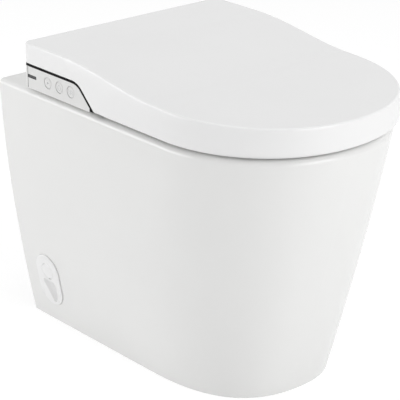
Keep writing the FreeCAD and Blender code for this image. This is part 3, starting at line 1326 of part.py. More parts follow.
BOARD_TOP = "places.board_z + sizes.board_thickness"
BOARD_REAR = f"{STEP} - 5"
# in from the board's left edge, width, in from the board's rear edge, depth, top over the board's underside
CHIPS = [
    (15, 26, 83, 24, 12), (49, 12, 81, 12, 4), (66, 27, 79, 16, 10),
    (17, 16, 45, 34, 11), (45, 20, 47, 20, 3.4), (70, 23, 41, 26, 12),
]
circuit = block(
    ("places.board_left", "places.board_right"), (f"{BOARD_REAR} - sizes.board_depth", BOARD_REAR),
    ("places.board_z", BOARD_TOP),
)
chips = []
for x, wide, y, deep, high in CHIPS:
    chip_x = (f"places.board_left + {x}", f"places.board_left + {x + wide}")
    chip_y = (f"{BOARD_REAR} - {y}", f"{BOARD_REAR} - {y - deep}")
    chips.append(block(chip_x, chip_y, (BOARD_TOP, f"places.board_z + {high}")))
subpart("main_board", joined(circuit, *chips))

# ---------------------------------------------------------------- heated seat


def ring_plan(inset, level):
    """The seat ring's outline, drawn in by an inset."""
    margin = value("lid_wall") + value("ring_gap") + inset
    rear = value("ring_rear_y") - inset
    return plan_outline(
        value("half_lid") - margin, value("lid_front") + margin, rear, value("nose_top") - margin,
        value("nose_fullness"), level, value("ring_corner") - inset,
    )


def ring_hole(grow, low, high):
    """The seat opening, grown by a distance."""
    centre = Vector(0, value("hole_y"), low)
    outline = ellipse_wire(centre, value("hole_width") / 2 + grow, value("hole_length") / 2 + grow)
    return prism(outline, high - low)


def ring_body(inset, low, high, edge_round):
    body = prism(ring_plan(inset, low), high - low).cut(ring_hole(inset, low - 1, high + 1))
    if edge_round:
        top_edges = [edge for edge in body.Edges if all(abs(v.Z - high) < 0.01 for v in edge.Vertexes)]
        body = body.makeFillet(edge_round, top_edges)
    return body


ARCH_DEPTH = 60


def wand_arch(margin):
    """The space under the ring's rear for the nozzle and the warm air."""
    low = value("ring_base") - 5
    high = value("floor_top") + 14.5 + margin
    left = -(value("wand_radius") + 8) - margin
    right = value("duct_right") + 7 + margin
    front = value("ring_rear_y") - ARCH_DEPTH - margin
    return Part.makeBox(right - left, ARCH_DEPTH + 20 + margin, high - low, Vector(left, front, low))


def ring_hollow():
    wall = value("ring_wall")
    hollow = ring_body(wall, value("ring_base") + wall, value("ring_top") - wall, 0)
    return hollow.cut(wand_arch(wall))


ARM_ROOT = 40


def make_arm():
    """One of the two arms that carry the ring from the hinge, over the side panel."""
    rear = value("ring_rear_y")
    axis_y = value("hinge_y")
    axis_z = value("hinge_z")
    boss = value("boss_radius")
    top = value("ring_top")
    face = side_face([
        (rear - ARM_ROOT, top - 8), (rear - ARM_ROOT, top - 1), (rear + 18, axis_z + 4),
        (rear + 34, axis_z + boss), (axis_y, axis_z + boss), (axis_y, axis_z - 5.2),
        (axis_y - 16, axis_z - 5.2), (rear - 8, value("ring_split")), (rear - 8, top - 8),
    ])
    low = -value("arm_outer")
    high = -(value("half_housing") + 2)
    arm = across(face, low, high)
    boss_body = Part.makeCylinder(boss, high - low, Vector(low, axis_y, axis_z), Vector(1, 0, 0))
    bore_start = Vector(low - 10, axis_y, axis_z)
    bore = Part.makeCylinder(value("pin_radius") + 1.5, high - low + 20, bore_start, Vector(1, 0, 0))
    room = across(panel_profile(4.5, 30, axis_y + 40), -WIDE, 0)
    keep_boss = Part.makeCylinder(boss, WIDE, Vector(-WIDE, axis_y, axis_z), Vector(1, 0, 0))
    return arm.fuse(boss_body).cut([room.cut(keep_boss), bore])


def make_seat_top():
    split = value("ring_split")
    body = ring_body(0, split, value("ring_top"), value("ring_round"))
    body = body.cut([ring_hollow(), wand_arch(0)])
    return body.fuse(both_sides(make_arm())).removeSplitter()


def make_seat_bottom():
    body = ring_body(0, value("ring_base"), value("ring_split"), 0)
    return body.cut([ring_hollow(), wand_arch(0)])


seat_top = subpart("seat_top_shell", solid_piece(make_seat_top()))
seat_bottom = subpart("seat_bottom_shell", solid_piece(make_seat_bottom()))


def make_heating_element():
    """A thin heating foil under the ring's upper skin."""
    level = value("ring_top") - value("ring_wall")
    foil = ring_body(value("ring_wall") + 4, level - 0.9, level - 0.1, 0)
    # the arms' roots take the rear of the ring
    end = value("ring_rear_y") - ARM_ROOT - 2
    arm_roots = Part.makeBox(2 * WIDE, 2 * WIDE, 10, Vector(-WIDE, end, level - 5))
    return foil.cut(arm_roots)


subpart("seat_heating_element", solid_piece(make_heating_element()))

# in from the lid's outer face to the pad's outer end, and the pad's middle
BUMPERS = [("58.5", "places.lid_front + 113"), ("28.5", "places.wall_face - 315")]
PAD_LONG = 22
PAD_HALF_WIDE = 7
bumper_pads = []
for inset, y in BUMPERS:
    pad_x = f"{inset} - places.half_lid"
    bumper = block((pad_x, f"{pad_x} + {PAD_LONG}"), (f"{y} - {PAD_HALF_WIDE}", f"{y} + {PAD_HALF_WIDE}"),
                   ("sizes.china_height + sizes.thin_gap", "places.ring_base"))
    bumper_pads.extend([bumper, mirrored(bumper)])
subpart("seat_bumpers", group(*bumper_pads))

BUSH_END = f"places.arm_outer - {HALF} - 1.1"
BUSH_OUT = "sizes.pin_radius + 1.45"
bush = turned_piece(
    "bush",
    [
        (PIN_BORE, "0"), (f"{BOSS_R} - 0.6", "0"), (f"{BOSS_R} - 0.6", "0.9"), (BUSH_OUT, "0.9"),
        (BUSH_OUT, BUSH_END), (PIN_BORE, BUSH_END),
    ],
    f"-{HALF} - 1", HINGE_Y, HINGE_Z, Rotation(Vector(0, 1, 0), -90),
)
subpart("seat_hinge_bushes", pair(bush))

# ---------------------------------------------------------------- lid


def lid_top_face(lower):
    """Everything under the lid's top, seen from the side, lowered by a distance."""
    rear = value("lid_rear") + 20
    front = value("lid_front") - 20
    high = value("lid_rear_height") - lower
    foot = value("lid_ramp_end_height") - lower
    start = value("wall_face") - value("lid_ramp_start")
    end = start - value("lid_ramp_length")
    fall = (value("lid_ramp_end_height") - value("lid_front_height")) / (end - value("lid_front"))
    tip = foot - fall * (end - front)
    ramp = Part.BezierCurve()
    reach = value("lid_ramp_length")
    ramp.setPoles([
        Vector(0, start, high), Vector(0, start - 0.35 * reach, high),
        Vector(0, end + 0.3 * reach, foot + fall * 0.3 * reach), Vector(0, end, foot),
    ])
    low = 300
    edges = [
        Part.makeLine(Vector(0, rear, low), Vector(0, rear, high)),
        Part.makeLine(Vector(0, rear, high), Vector(0, start, high)),
        ramp.toShape(),
        Part.makeLine(Vector(0, end, foot), Vector(0, front, tip)),
        Part.makeLine(Vector(0, front, tip), Vector(0, front, low)),
        Part.makeLine(Vector(0, front, low), Vector(0, rear, low)),
    ]
    return Part.Face(Part.Wire(Part.__sortEdges__(edges)))


def under_lid_top(lower):
    return across(lid_top_face(lower), -WIDE, WIDE)


LINER_Z = value("ring_top") + 3
LINER_THICK = 2.5
LID_SCREW_REACH = LINER_THICK + 3
POST_X_REACH = value("half_lid") - 82.5
LID_POSTS = [
    (x, y)
    for x in (-POST_X_REACH, 0, POST_X_REACH)
    for y in (value("ring_rear_y") - 106, value("lid_front") + 102)
]


def make_lid():
    edge = value("lid_edge_height")
    tall = value("lid_rear_height") - edge + 10
    outside = prism(lid_plan(0, 0, edge), tall).common(under_lid_top(0))
    upper = [e for e in outside.Edges if e.BoundBox.ZMin > value("lid_front_height") - 1]
    upper = [e for e in upper if e.BoundBox.XLength > 0.01 or e.BoundBox.YLength > 0.01]
    around = [e for e in upper if abs(e.CenterOfMass.x) > 1]
    back = [e for e in upper if abs(e.CenterOfMass.x) < 1 and abs(e.CenterOfMass.y - value("lid_rear")) < 0.1]
    outside = outside.makeFillet(value("lid_round"), around + back)
    inside = prism(lid_plan(value("lid_wall"), value("lid_rear_wall"), edge - 1), tall + 1)
    inside = inside.common(under_lid_top(value("lid_wall")))
    grow = value("black_line") + value("lid_gap")
    relief = across(panel_profile(grow, 30, value("lid_rear") + 30), -WIDE, WIDE)
    lid = outside.cut([inside, relief])
    heel = value("lid_heel_round")
    rear = value("lid_rear")
    low = value("lid_edge_rear")
    corner = Part.makeBox(2 * WIDE, heel + 1, heel + 1, Vector(-WIDE, rear - heel, low - 1))
    curve = Part.makeCylinder(heel, 2 * WIDE, Vector(-WIDE, rear - heel, low + heel), Vector(1, 0, 0))
    lid = lid.cut(corner.cut(curve))
    posts = [Part.makeCylinder(5, 60, Vector(x, y, LINER_Z + LINER_THICK)) for x, y in LID_POSTS]
    posts = [post.common(under_lid_top(value("lid_wall") - 1)) for post in posts]
    holes = [Part.makeCylinder(1.5, LID_SCREW_REACH + 0.2, Vector(x, y, LINER_Z)) for x, y in LID_POSTS]
    return lid.fuse(posts).cut(holes)


subpart("lid_shell", solid_piece(make_lid()))


def make_liner():
    margin = value("lid_wall") + value("thin_gap")
    liner = prism(lid_plan(margin, margin, LINER_Z), LINER_THICK)
    end = value("ring_rear_y") - 46
    keep = Part.makeBox(2 * WIDE, 3 * WIDE, 60, Vector(-WIDE, end - 3 * WIDE, LINER_Z - 20))
    holes = [Part.makeCylinder(1.7, 9, Vector(x, y, LINER_Z - 1)) for x, y in LID_POSTS]
    return liner.common(keep).cut(holes)


subpart("lid_liner", solid_piece(make_liner()))

lid_screws = []
for x, y in LID_POSTS:
    lid_screws.append(
        turned_piece(
            "lid_screw",
            [("0", "-1.6"), ("2.6", "-1.6"), ("3.4", "0"), ("1.45", "0"), ("1.45", f"{LID_SCREW_REACH}"),
             ("0", f"{LID_SCREW_REACH}")],
            x, y, LINER_Z,
        )
    )
subpart("lid_screws", group(*lid_screws))

LID_PADS = [("42.5", "places.wall_face - 327"), ("74.5", "places.lid_front + 97")]
lid_pads = []
for inset, y in LID_PADS:
    lid_pad = rod("6", f"{LINER_Z} - places.ring_top - sizes.thin_gap", f"{inset} - places.half_lid", y,
                  "places.ring_top + sizes.thin_gap")
    lid_pads.extend([lid_pad, mirrored(lid_pad)])
subpart("lid_bumpers", group(*lid_pads))


def make_lug():
    """A plate inside the lid's side that turns on the hinge pin, with a screwed flange on top."""
    axis_y = value("hinge_y")
    axis_z = value("hinge_z")
    boss = value("boss_radius")
    outer = -(value("half_lid") - value("lid_wall") - 0.1)
    inner = -(value("arm_outer") + 2)
    top = value("lid_rear_height") - value("lid_wall") - 0.1
    web = across(
        side_face([(axis_y - 22, top - 3), (axis_y - 22, top), (axis_y + boss, top), (axis_y + boss, axis_z),
                   (axis_y - boss, axis_z)]),
        outer, inner,
    )
    ring = Part.makeCylinder(boss, inner - outer, Vector(outer, axis_y, axis_z), Vector(1, 0, 0))
    flange = Part.makeBox(26, 28, 2.4, Vector(outer, axis_y - 22, top - 2.4))
    bore = Part.makeCylinder(
        value("pin_radius") + value("pin_gap"), 60, Vector(outer - 10, axis_y, axis_z), Vector(1, 0, 0)
    )
    room = prism(lid_plan(value("lid_wall") + 0.1, value("lid_rear_wall") + 0.1, axis_z - 30), 80)
    return web.fuse([ring, flange]).cut(bore).common(room).removeSplitter()


lug = solid_piece(make_lug())
subpart("lid_hinge_lugs", pair(lug))


# ---------------------------------------------------------------- checks and export

doc.recompute()
for item in doc.Objects:
    if "Invalid" in item.State or "Error" in item.State:
        raise RuntimeError(f"{item.Label} ({item.Name}) failed: {item.State}")
for item in SUBPARTS:
    if item.Shape.isNull() or not item.Shape.isValid() or not item.Shape.Solids:
        raise RuntimeError(f"{item.Label} has no valid solid")
os.makedirs("parts", exist_ok=True)
for item in SUBPARTS:
    item.Shape.exportStep(f"parts/{item.Label}.step")
print(len(SUBPARTS), "sub-parts written")
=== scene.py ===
import json
import math

import bmesh
import bpy
from mathutils import Matrix, Vector


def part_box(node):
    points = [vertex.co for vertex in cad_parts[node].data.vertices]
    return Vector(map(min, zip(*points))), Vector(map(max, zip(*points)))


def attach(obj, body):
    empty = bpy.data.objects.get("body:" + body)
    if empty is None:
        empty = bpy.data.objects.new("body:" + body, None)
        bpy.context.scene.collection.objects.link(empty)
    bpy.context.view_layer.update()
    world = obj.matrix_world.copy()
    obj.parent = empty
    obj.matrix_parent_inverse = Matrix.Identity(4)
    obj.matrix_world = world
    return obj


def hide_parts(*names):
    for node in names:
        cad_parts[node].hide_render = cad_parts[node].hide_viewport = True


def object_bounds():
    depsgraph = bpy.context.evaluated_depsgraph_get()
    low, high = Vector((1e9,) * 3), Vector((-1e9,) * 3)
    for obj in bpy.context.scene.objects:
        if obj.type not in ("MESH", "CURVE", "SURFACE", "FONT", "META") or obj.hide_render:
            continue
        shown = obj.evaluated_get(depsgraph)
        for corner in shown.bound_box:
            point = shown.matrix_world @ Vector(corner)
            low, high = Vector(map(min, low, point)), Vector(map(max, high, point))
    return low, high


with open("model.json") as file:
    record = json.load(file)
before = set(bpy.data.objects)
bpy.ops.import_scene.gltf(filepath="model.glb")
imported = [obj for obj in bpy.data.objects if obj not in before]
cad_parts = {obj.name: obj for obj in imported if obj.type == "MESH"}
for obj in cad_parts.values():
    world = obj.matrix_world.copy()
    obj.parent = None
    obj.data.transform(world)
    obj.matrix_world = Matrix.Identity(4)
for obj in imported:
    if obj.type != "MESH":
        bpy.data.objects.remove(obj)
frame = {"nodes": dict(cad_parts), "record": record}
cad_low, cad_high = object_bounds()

# A back-to-wall toilet with a heated washing seat. Metres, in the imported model's own frame:
# +Z up, the front at -Y, the wall at +Y, the control panel at -X.

MM = 0.001
scene = bpy.context.scene
nodes = frame["nodes"]


# ---------------------------------------------------------------- shader helpers


def linear(code):
    """A colour written as sRGB hex, as the linear numbers that a shader takes."""
    channels = [int(code[i:i + 2], 16) / 255 for i in (1, 3, 5)]
    return [c / 12.92 if c <= 0.04045 else ((c + 0.055) / 1.055) ** 2.4 for c in channels] + [1.0]


def add(tree, kind, links=None, inputs=None, **settings):
    """Adds a node with its settings, its socket values and the links that come into it."""
    made = tree.nodes.new(kind)
    for name, setting in settings.items():
        setattr(made, name, setting)
    for socket, number in (inputs or {}).items():
        made.inputs[socket].default_value = number
    for socket, source in (links or {}).items():
        tree.links.new(source, made.inputs[socket])
    return made


def new_finish(name, **sockets):
    """An empty material with one Principled shader, whose constant sockets are set here."""
    material = bpy.data.materials.new(name)
    material.use_nodes = True
    tree = material.node_tree
    tree.nodes.clear()
    surface = add(tree, "ShaderNodeBsdfPrincipled", inputs=sockets)
    add(tree, "ShaderNodeOutputMaterial", {"Surface": surface.outputs["BSDF"]})
    place = add(tree, "ShaderNodeTexCoord").outputs["Object"]
    return material, tree, surface, place


# A noise runs from 0 to 1, and most of it lies between these two.
NOISE_LOW = 0.35
NOISE_HIGH = 0.65


def between(tree, factor, low, high):
    """A number that runs from low to high as the factor runs over the middle of a noise."""
    inputs = {"From Min": NOISE_LOW, "From Max": NOISE_HIGH, "To Min": low, "To Max": high}
    return add(tree, "ShaderNodeMapRange", {"Value": factor}, inputs).outputs["Result"]


def blend_colours(tree, factor, first, second):
    """A colour that goes from the first hex code to the second as the factor goes from 0 to 1."""
    mix = add(tree, "ShaderNodeMix", {0: factor}, data_type="RGBA")
    mix.inputs[6].default_value = linear(first)
    mix.inputs[7].default_value = linear(second)
    return mix.outputs[2]


def noise(tree, place, size, detail=2.0, stretch=None):
    """A noise whose features are about this many metres across, drawn out along an axis if asked."""
    if stretch:
        place = add(tree, "ShaderNodeMapping", {"Vector": place}, {"Scale": stretch}).outputs["Vector"]
    inputs = {"Scale": 1 / size, "Detail": detail, "Roughness": 0.5}
    return add(tree, "ShaderNodeTexNoise", {"Vector": place}, inputs).outputs["Fac"]


def bump_from(tree, surface, height, depth):
    """Raises and lowers the shading by a pattern, whose full height is the depth in metres."""
    bump = add(tree, "ShaderNodeBump", {"Height": height}, {"Distance": depth, "Strength": 1.0})
    tree.links.new(bump.outputs["Normal"], surface.inputs["Normal"])


def moulded(name, low, high, shine, cloud, grain, depth, **sockets):
    """Moulded plastic or rubber: a faint cloud in the colour, a range of roughness and a surface grain."""
    material, tree, surface, place = new_finish(name, **sockets)
    drift = noise(tree, place, cloud)
    tree.links.new(blend_colours(tree, drift, low, high), surface.inputs["Base Color"])
    tree.links.new(between(tree, noise(tree, place, cloud / 3), *shine), surface.inputs["Roughness"])
    bump_from(tree, surface, noise(tree, place, grain), depth)
    return material


def drawn_metal(name, low, high, shine, line, stretch, depth):
    """Worked metal: a grain in colour, roughness and surface, drawn out where its stretch is under 1."""
    material, tree, surface, place = new_finish(name, Metallic=1.0)
    lines = noise(tree, place, line, 3.0, stretch)
    tree.links.new(blend_colours(tree, lines, low, high), surface.inputs["Base Color"])
    tree.links.new(between(tree, lines, *shine), surface.inputs["Roughness"])
    bump_from(tree, surface, lines, depth)
    return material


# ---------------------------------------------------------------- finishes


def vitreous_china():
    """Vitreous china: a cast clay body under a thick poured glaze, fired to a soft gloss."""
    # The eye sees a clean white, a shade darker where the glaze pooled, whose broad reflections have
    # slow, very shallow ripples and a faint sharper glint on top.
    pool = 160 * MM
    haze = 60 * MM
    ripple = 28 * MM
    ripple_deep = 0.02 * MM
    glaze = {"IOR": 1.5, "Coat Weight": 0.12, "Coat Roughness": 0.05}
    material, tree, surface, place = new_finish("vitreous_china", **glaze)
    pools = noise(tree, place, pool)
    tree.links.new(blend_colours(tree, pools, "#EDEDEC", "#E9E9E8"), surface.inputs["Base Color"])
    tree.links.new(between(tree, noise(tree, place, haze), 0.24, 0.26), surface.inputs["Roughness"])
    bump_from(tree, surface, noise(tree, place, ripple, 1.0), ripple_deep)
    return material


def solder_mask():
    """Fibreglass board under green solder mask, with the faint lines of the glass cloth."""
    # The eye sees a semi-gloss green with fine wavy lines. The cloth's 0.5 mm threads are too fine to
    # show, so they are drawn coarser: the wave texture puts its lines 0.31 of its size apart, 2.8 mm.
    wave_size = 9 * MM
    thread_deep = 0.02 * MM
    material, tree, surface, place = new_finish("green_solder_mask", IOR=1.5)
    waves = {"Scale": 1 / wave_size, "Distortion": 0.4}
    threads = add(tree, "ShaderNodeTexWave", {"Vector": place}, waves).outputs["Fac"]
    tree.links.new(blend_colours(tree, threads, "#17593A", "#1E6A46"), surface.inputs["Base Color"])
    tree.links.new(between(tree, threads, 0.3, 0.4), surface.inputs["Roughness"])
    bump_from(tree, surface, threads, thread_deep)
    return material


def heater_ceramic():
    """Alumina heater body, fired and unglazed."""
    # The eye sees a dry off-white with a fine chalky grain and small darker fired specks.
    speck = 1.6 * MM
    grain = 0.8 * MM
    grain_deep = 0.05 * MM
    material, tree, surface, place = new_finish("fired_alumina", Roughness=0.8)
    specks = add(tree, "ShaderNodeTexVoronoi", {"Vector": place}, {"Scale": 1 / speck}).outputs["Distance"]
    tree.links.new(blend_colours(tree, specks, "#B9B1A2", "#CFC8BA"), surface.inputs["Base Color"])
    bump_from(tree, surface, noise(tree, place, grain, 4.0), grain_deep)
    return material


def milky_polypropylene():
    """Natural polypropylene, blown: milky, waxy and a little see-through."""
    # The eye sees cloudy walls that glow where light comes through.
    cloud = 40 * MM
    wax = 3 * MM
    wax_deep = 0.03 * MM
    clear = {"IOR": 1.49, "Transmission Weight": 0.35}
    material, tree, surface, place = new_finish("natural_polypropylene", **clear)
    clouds = noise(tree, place, cloud)
    tree.links.new(blend_colours(tree, clouds, "#E4E8E8", "#D5DCDD"), surface.inputs["Base Color"])
    tree.links.new(between(tree, clouds, 0.3, 0.42), surface.inputs["Roughness"])
    bump_from(tree, surface, noise(tree, place, wax), wax_deep)
    return material


# One finish for each material slot. A moulded one has two colours, its range of roughness, and then
# the size of its cloud, the size of its grain and the grain's depth. A metal has two colours, its
# range of roughness, the size of its grain, how that is drawn out along X, Y and Z, and its depth.
FINISHES = {
    "glazed_china": vitreous_china(),
    # ABS, injection moulded in a polished tool: bright clean white, with a very shallow orange peel.
    "white_gloss": moulded("polished_abs", "#F2F2F2", "#EFEFEF", (0.23, 0.25), 120 * MM, 5 * MM, 0.01 * MM,
                           IOR=1.5),
    # ABS from a spark-eroded tool: a little darker, with a fine dry grain that blurs the reflection.
    "white_satin": moulded("spark_textured_abs", "#EDEDEC", "#E7E7E6", (0.42, 0.55), 80 * MM, 0.9 * MM,
                           0.03 * MM, IOR=1.5),
    # Glass-filled nylon: mid grey with a mottled dry skin where the fibres float up.
    "grey_plastic": moulded("glass_filled_nylon", "#8E9193", "#9A9D9F", (0.45, 0.6), 14 * MM, 1.2 * MM,
                            0.04 * MM, IOR=1.53),
    "clear_plastic": milky_polypropylene(),
    # Smoked polycarbonate: dark grey and very glossy, so it mirrors the room in one dark bar.
    "dark_window": moulded("smoked_polycarbonate", "#3A3B3D", "#444547", (0.08, 0.14), 20 * MM, 6 * MM,
                           0.01 * MM, IOR=1.58),
    # EPDM rubber: deep black and dry, with hardly any sheen.
    "black_rubber": moulded("epdm_rubber", "#060606", "#0D0D0E", (0.7, 0.85), 8 * MM, 0.7 * MM, 0.03 * MM,
                            **{"IOR": 1.48, "Specular IOR Level": 0.15}),
    # Silicone rubber: pale grey, with a soft sheen.
    "grey_rubber": moulded("silicone_rubber", "#B9BBBC", "#C6C8C9", (0.45, 0.6), 10 * MM, 1.0 * MM,
                           0.03 * MM, IOR=1.43),
    # Stainless steel, brushed: cool grey with fine lines along X in its reflections.
    "stainless_steel": drawn_metal("brushed_stainless_steel", "#B4B6B8", "#C6C8CA", (0.24, 0.38), 0.5 * MM,
                                   (0.06, 1, 1), 0.01 * MM),
    # Brass, turned about Y: warm yellow with fine rings from the lathe.
    "brass": drawn_metal("turned_brass", "#B9985A", "#CDAE6E", (0.2, 0.32), 0.6 * MM, (0.1, 1, 0.1),
                         0.01 * MM),
    # Steel can, zinc plated: blue-grey with a faint spangle.
    "motor_steel": drawn_metal("zinc_plated_steel", "#9CA1A7", "#B2B7BC", (0.3, 0.45), 3 * MM, (1, 1, 1),
                               0.02 * MM),
    # Acetal, natural: warm white and waxy, with a low even gloss.
    "acetal": moulded("natural_acetal", "#E9E7DF", "#E2DFD5", (0.3, 0.4), 30 * MM, 1.5 * MM, 0.02 * MM,
                      IOR=1.48),
    "board_green": solder_mask(),
    # Activated carbon fleece: a dull black with a coarse granular face.
    "charcoal": moulded("carbon_fleece", "#141414", "#242424", (0.85, 0.95), 5 * MM, 1.1 * MM, 0.2 * MM),
    # Aluminium foil, rolled along Y: bright, with long roll lines.
    "heating_foil": drawn_metal("rolled_aluminium_foil", "#C9CBCD", "#D8DADC", (0.25, 0.4), 1.2 * MM,
                                (1, 0.08, 1), 0.03 * MM),
    "heater_ceramic": heater_ceramic(),
}
# ABS of the side panels and their buttons, moulded with a fine satin grain: a shade greyer than the lid.
PANEL_ABS = moulded("satin_panel_abs", "#E3E3E2", "#DEDEDD", (0.34, 0.42), 90 * MM, 1.0 * MM, 0.02 * MM,
                    IOR=1.5)
PANEL_PIECES = ("control_panel", "blank_panel", "wash_button", "rinse_button", "dry_button")
SLOT_OF = {row["node"]: row["material_slot"] for row in frame["record"]["subparts"]}
BODY_OF = {node: body for body, group in frame["record"]["behaviour"]["bodies"].items() for node in group}

# ---------------------------------------------------------------- mesh helpers


def new_piece(name, bm, body, slot, *stands_for):
    """Turns a bmesh into a piece of the object that rides on a body and may stand for CAD nodes."""
    mesh = bpy.data.meshes.new(name)
    bm.to_mesh(mesh)
    bm.free()
    return dress(name, mesh, body, slot, *stands_for)


def dress(name, mesh, body, slot, *stands_for):
    """Makes a mesh a piece with its finish, slot and body."""
    piece = bpy.data.objects.new(name, mesh)
    scene.collection.objects.link(piece)
    mesh.materials.clear()
    mesh.materials.append(FINISHES[slot])
    if stands_for:
        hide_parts(*stands_for)
    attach(piece, body)
    return piece


# Edges that turn more than SHARP stay crisp, and corners nearer than WELD are one corner.
SHARP = math.radians(28)
WELD = 0.002 * MM
# The meshes that are cut out of a node's copy, by node; filled in below.
CUTTERS = {}


def smoothed(node):
    """A welded copy of a CAD node, with its cuts, whose curved faces shade smoothly."""
    bm = bmesh.new()
    bm.from_mesh(nodes[node].data)
    bmesh.ops.remove_doubles(bm, verts=bm.verts, dist=WELD)
    for face in bm.faces:
        face.smooth = True
    mesh = bpy.data.meshes.new(node)
    bm.to_mesh(mesh)
    bm.free()
    for cutter in CUTTERS.get(node, []):
        mesh = carved(mesh, cutter)
    bm = bmesh.new()
    bm.from_mesh(mesh)
    for edge in bm.edges:
        edge.smooth = len(edge.link_faces) == 2 and edge.calc_face_angle(0) < SHARP
    return new_piece(node + "_finished", bm, BODY_OF[node], SLOT_OF[node], node)


def carved(mesh, cutter):
    """A mesh with another mesh's volume cut out of it."""
    block = bpy.data.objects.new("block", mesh)
    tool = bpy.data.objects.new("tool", cutter)
    for item in (block, tool):
        scene.collection.objects.link(item)
    cut = block.modifiers.new("cut", "BOOLEAN")
    cut.operation = "DIFFERENCE"
    cut.solver = "EXACT"
    cut.object = tool
    result = bpy.data.meshes.new_from_object(block.evaluated_get(bpy.context.evaluated_depsgraph_get()))
    block.modifiers.remove(cut)
    for item in (block, tool):
        bpy.data.objects.remove(item)
    return result


def cuboid(bm, size, place):
    """Adds a block of a given size, turned and moved by a matrix."""
    bmesh.ops.create_cube(bm, size=1, matrix=place @ Matrix.Diagonal((*size, 1)))


def frame_at(origin, across, upwards):
    """A matrix whose X and Y run along two directions from an origin, and whose Z is square to both."""
    turn = Matrix((across, upwards, across.cross(upwards))).transposed()
    return Matrix.Translation(origin) @ turn.to_4x4()


def solids_of(node):
    """The separate solids of a node, each as its corner points."""
    bm = bmesh.new()
    bm.from_mesh(nodes[node].data)
    bmesh.ops.remove_doubles(bm, verts=bm.verts, dist=WELD)
    left = set(bm.verts)
    found = []
    while left:
        edge_of_search = [left.pop()]
        points = []
        while edge_of_search:
            corner = edge_of_search.pop()
            points.append(corner.co.copy())
            fresh = {edge.other_vert(corner) for edge in corner.link_edges} & left
            left -= fresh
            edge_of_search += fresh
        found.append(points)
    bm.free()
    return sorted(found, key=lambda points: tuple(round(c, 4) for c in points_low(points)))


def points_low(points):
    """The lowest corner of the box round some points."""
    return Vector([min(p[i] for p in points) for i in range(3)])


def points_high(points):
    """The highest corner of the box round some points."""
    return Vector([max(p[i] for p in points) for i in range(3)])


# ---------------------------------------------------------------- repeated details, by Geometry Nodes


def new_tree(name, **sizes):
    """A tree with one named input for each size; gives back the tree and its input sockets."""
    tree = bpy.data.node_groups.new(name, "GeometryNodeTree")
    kinds = {float: "NodeSocketFloat", int: "NodeSocketInt"}
    for label, size in sizes.items():
        socket = tree.interface.new_socket(name=label, in_out="INPUT", socket_type=kinds[type(size)])
        socket.default_value = size
    tree.interface.new_socket(name="Finish", in_out="INPUT", socket_type="NodeSocketMaterial")
    tree.interface.new_socket(name="Geometry", in_out="OUTPUT", socket_type="NodeSocketGeometry")
    return tree, add(tree, "NodeGroupInput").outputs


def close_tree(tree, given, geometry):
    """Ends a tree: its instances made real, and its finish put on them."""
    real = add(tree, "GeometryNodeRealizeInstances", {"Geometry": geometry}).outputs["Geometry"]
    skin = add(tree, "GeometryNodeSetMaterial", {"Geometry": real, "Material": given["Finish"]})
    add(tree, "NodeGroupOutput", {"Geometry": skin.outputs["Geometry"]})
    return tree


def lattice_tree():
    """Small blocks on a grid, each a little smaller than the full size by a seeded share."""
    tree, given = new_tree("blocks_on_a_lattice", Across=0.1, Along=0.1, Columns=4, Rows=4, Width=0.01,
                           Depth=0.01, Height=0.01, Variation=0.0, Seed=1)
    grid = add(tree, "GeometryNodeMeshGrid", {"Size X": given["Across"], "Size Y": given["Along"],
                                              "Vertices X": given["Columns"], "Vertices Y": given["Rows"]})
    sides = {"X": given["Width"], "Y": given["Depth"], "Z": given["Height"]}
    size = add(tree, "ShaderNodeCombineXYZ", sides)
    block = add(tree, "GeometryNodeMeshCube", {"Size": size.outputs["Vector"]})
    least = add(tree, "ShaderNodeMath", {1: given["Variation"]}, {0: 1.0}, operation="SUBTRACT")
    share = add(tree, "FunctionNodeRandomValue", {0: least.outputs[0], "Seed": given["Seed"]},
                {1: (1.0, 1.0, 1.0)}, data_type="FLOAT_VECTOR")
    spread = add(tree, "GeometryNodeInstanceOnPoints", {"Points": grid.outputs["Mesh"],
                                                        "Instance": block.outputs["Mesh"],
                                                        "Scale": share.outputs[0]})
    return close_tree(tree, given, spread.outputs["Instances"])


def ring_tree():
    """Small flat domes in a ring."""
    facets = {"Segments": 12, "Rings": 8}
    tree, given = new_tree("domes_in_a_ring", Radius=0.01, Count=6, Dome=0.001, Flatness=0.3)
    ring = add(tree, "GeometryNodeMeshCircle", {"Vertices": given["Count"], "Radius": given["Radius"]})
    dome = add(tree, "GeometryNodeMeshUVSphere", {"Radius": given["Dome"]}, facets)
    squash = add(tree, "ShaderNodeCombineXYZ", {"Z": given["Flatness"]}, {"X": 1.0, "Y": 1.0})
    spread = add(tree, "GeometryNodeInstanceOnPoints", {"Points": ring.outputs["Mesh"],
                                                        "Instance": dome.outputs["Mesh"],
                                                        "Scale": squash.outputs["Vector"]})
    return close_tree(tree, given, spread.outputs["Instances"])


